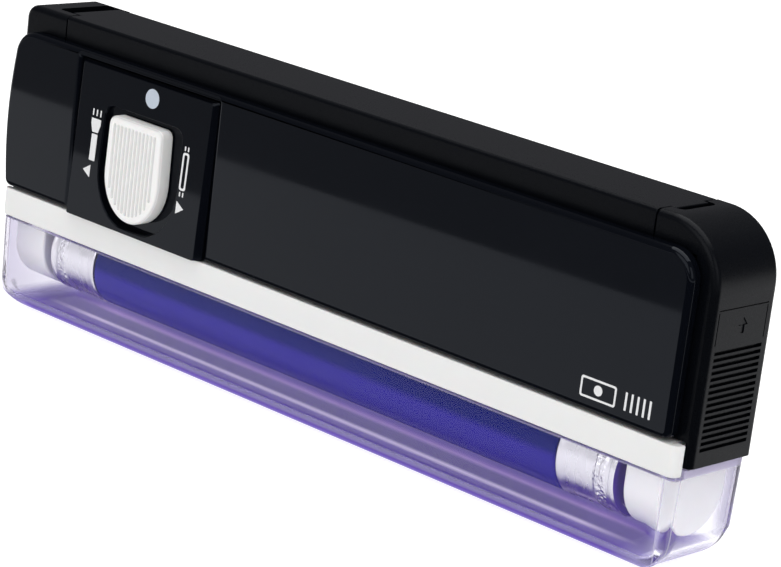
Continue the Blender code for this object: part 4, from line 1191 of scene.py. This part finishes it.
def flag(name, outline, grey, height=0.0002):
    """A dark sheet on the floor that only reflections see, and not those that came through clear plastic."""
    sheet = raw_object(name, prism(lambda inset: outline, "Z", height, height + 0.0001))
    n = Nodes(name)
    fibre = n.noise(80, 2)
    n.set(Base_Color=n.blend(fibre, (grey * 0.95,) * 3, (grey,) * 3), Roughness=n.between(fibre, 0.8, 1.0),
          Specular_IOR_Level=0.0)
    n.clear_for(n.between(n.add("ShaderNodeLightPath").outputs["Transmission Depth"], 0.0, 1.0))
    sheet.data.materials.append(n.material)
    sheet.visible_camera = False
    sheet.visible_diffuse = False
    sheet.visible_transmission = False
    sheet.visible_shadow = False


def make_studio():
    reach, under, top = 3.0, -0.02, -0.0002
    rings = [rectangle(-reach, reach, -reach, reach, level) for level in (under, top)]
    floor = raw_object("studio_floor", lofted(rings))
    floor.data.materials.append(floor_paper())

    right, front = PANEL.right, PANEL.front
    flag("far_flag", [(-0.7, -0.7), (0.25, -0.7), (0.25, -0.143), (-0.7, -0.105)], 0.36)
    near = front - 0.001
    flag("near_flag", [(-0.25, -0.060), (0.06, -0.060), (0.07, near), (-0.25, near)], 0.06)
    fan, fan_reach = [(right, front)], 0.6
    for angle in range(-122, 31, 8):
        turn = math.radians(angle)
        fan.append((right + fan_reach * math.cos(turn), front + fan_reach * math.sin(turn)))
    flag("side_flag", fan, 0.03, 0.0004)

    middle = (0, 0, 0.03)
    softbox("Overhead softbox", (0.0, 0.1, 1.3), middle, (1.6, 1.6), 20)
    softbox("Right softbox", (1.3, -0.35, 0.6), middle, (0.8, 0.8), 2.6)
    softbox("Front softbox", (0.15, -1.3, 0.75), middle, (1.4, 0.9), 6)

    world = bpy.data.worlds.new("Studio")
    world.use_nodes = True
    nodes, links = world.node_tree.nodes, world.node_tree.links
    background = nodes["Background"]
    ray = nodes.new("ShaderNodeLightPath").outputs
    mix = nodes.new("ShaderNodeMix")
    mix.data_type = "RGBA"
    mix.inputs[6].default_value = (0.16, 0.16, 0.17, 1)
    mix.inputs[7].default_value = (0.95, 0.95, 0.95, 1)

    def maths(operation, one, two, clamp=False):
        node = nodes.new("ShaderNodeMath")
        node.operation = operation
        node.use_clamp = clamp
        links.new(one, node.inputs[0])
        links.new(two, node.inputs[1])
        return node.outputs[0]

    inside = maths("MULTIPLY", ray["Is Glossy Ray"], ray["Transmission Depth"])
    through = maths("ADD", ray["Is Transmission Ray"], inside, clamp=True)
    links.new(maths("MAXIMUM", ray["Is Camera Ray"], through), mix.inputs["Factor"])
    links.new(mix.outputs[2], background.inputs["Color"])
    bpy.context.scene.world = world
    # Light has to be carried a long way along the clear cover's walls before it leaves them.
    light_paths = bpy.context.scene.cycles
    light_paths.max_bounces = light_paths.transmission_bounces = 32
    light_paths.glossy_bounces = 16
    bpy.context.scene.view_settings.view_transform = "Standard"


def make_camera():
    camera = bpy.data.objects.new("Camera", bpy.data.cameras.new("Camera"))
    camera.data.lens = CAMERA_LENS
    camera.data.sensor_width = 36.0
    camera.data.clip_start = 0.01
    turn = Matrix.Rotation(math.radians(CAMERA_AZIMUTH), 4, "Z")
    tilt = Matrix.Rotation(math.radians(90 - CAMERA_ELEVATION), 4, "X")
    roll = Matrix.Rotation(math.radians(CAMERA_ROLL), 4, "Z")
    camera.matrix_world = Matrix.Translation(CAMERA_AT) @ turn @ tilt @ roll
    bpy.context.scene.collection.objects.link(camera)
    bpy.context.scene.camera = camera


for make in (make_camera, make_panel, make_plate, make_knob, make_rear_shell, make_battery_door,
             make_torch_cap, make_tray, make_holders, make_tube, make_cover, make_marks, finish_cad_nodes,
             make_studio):
    make()
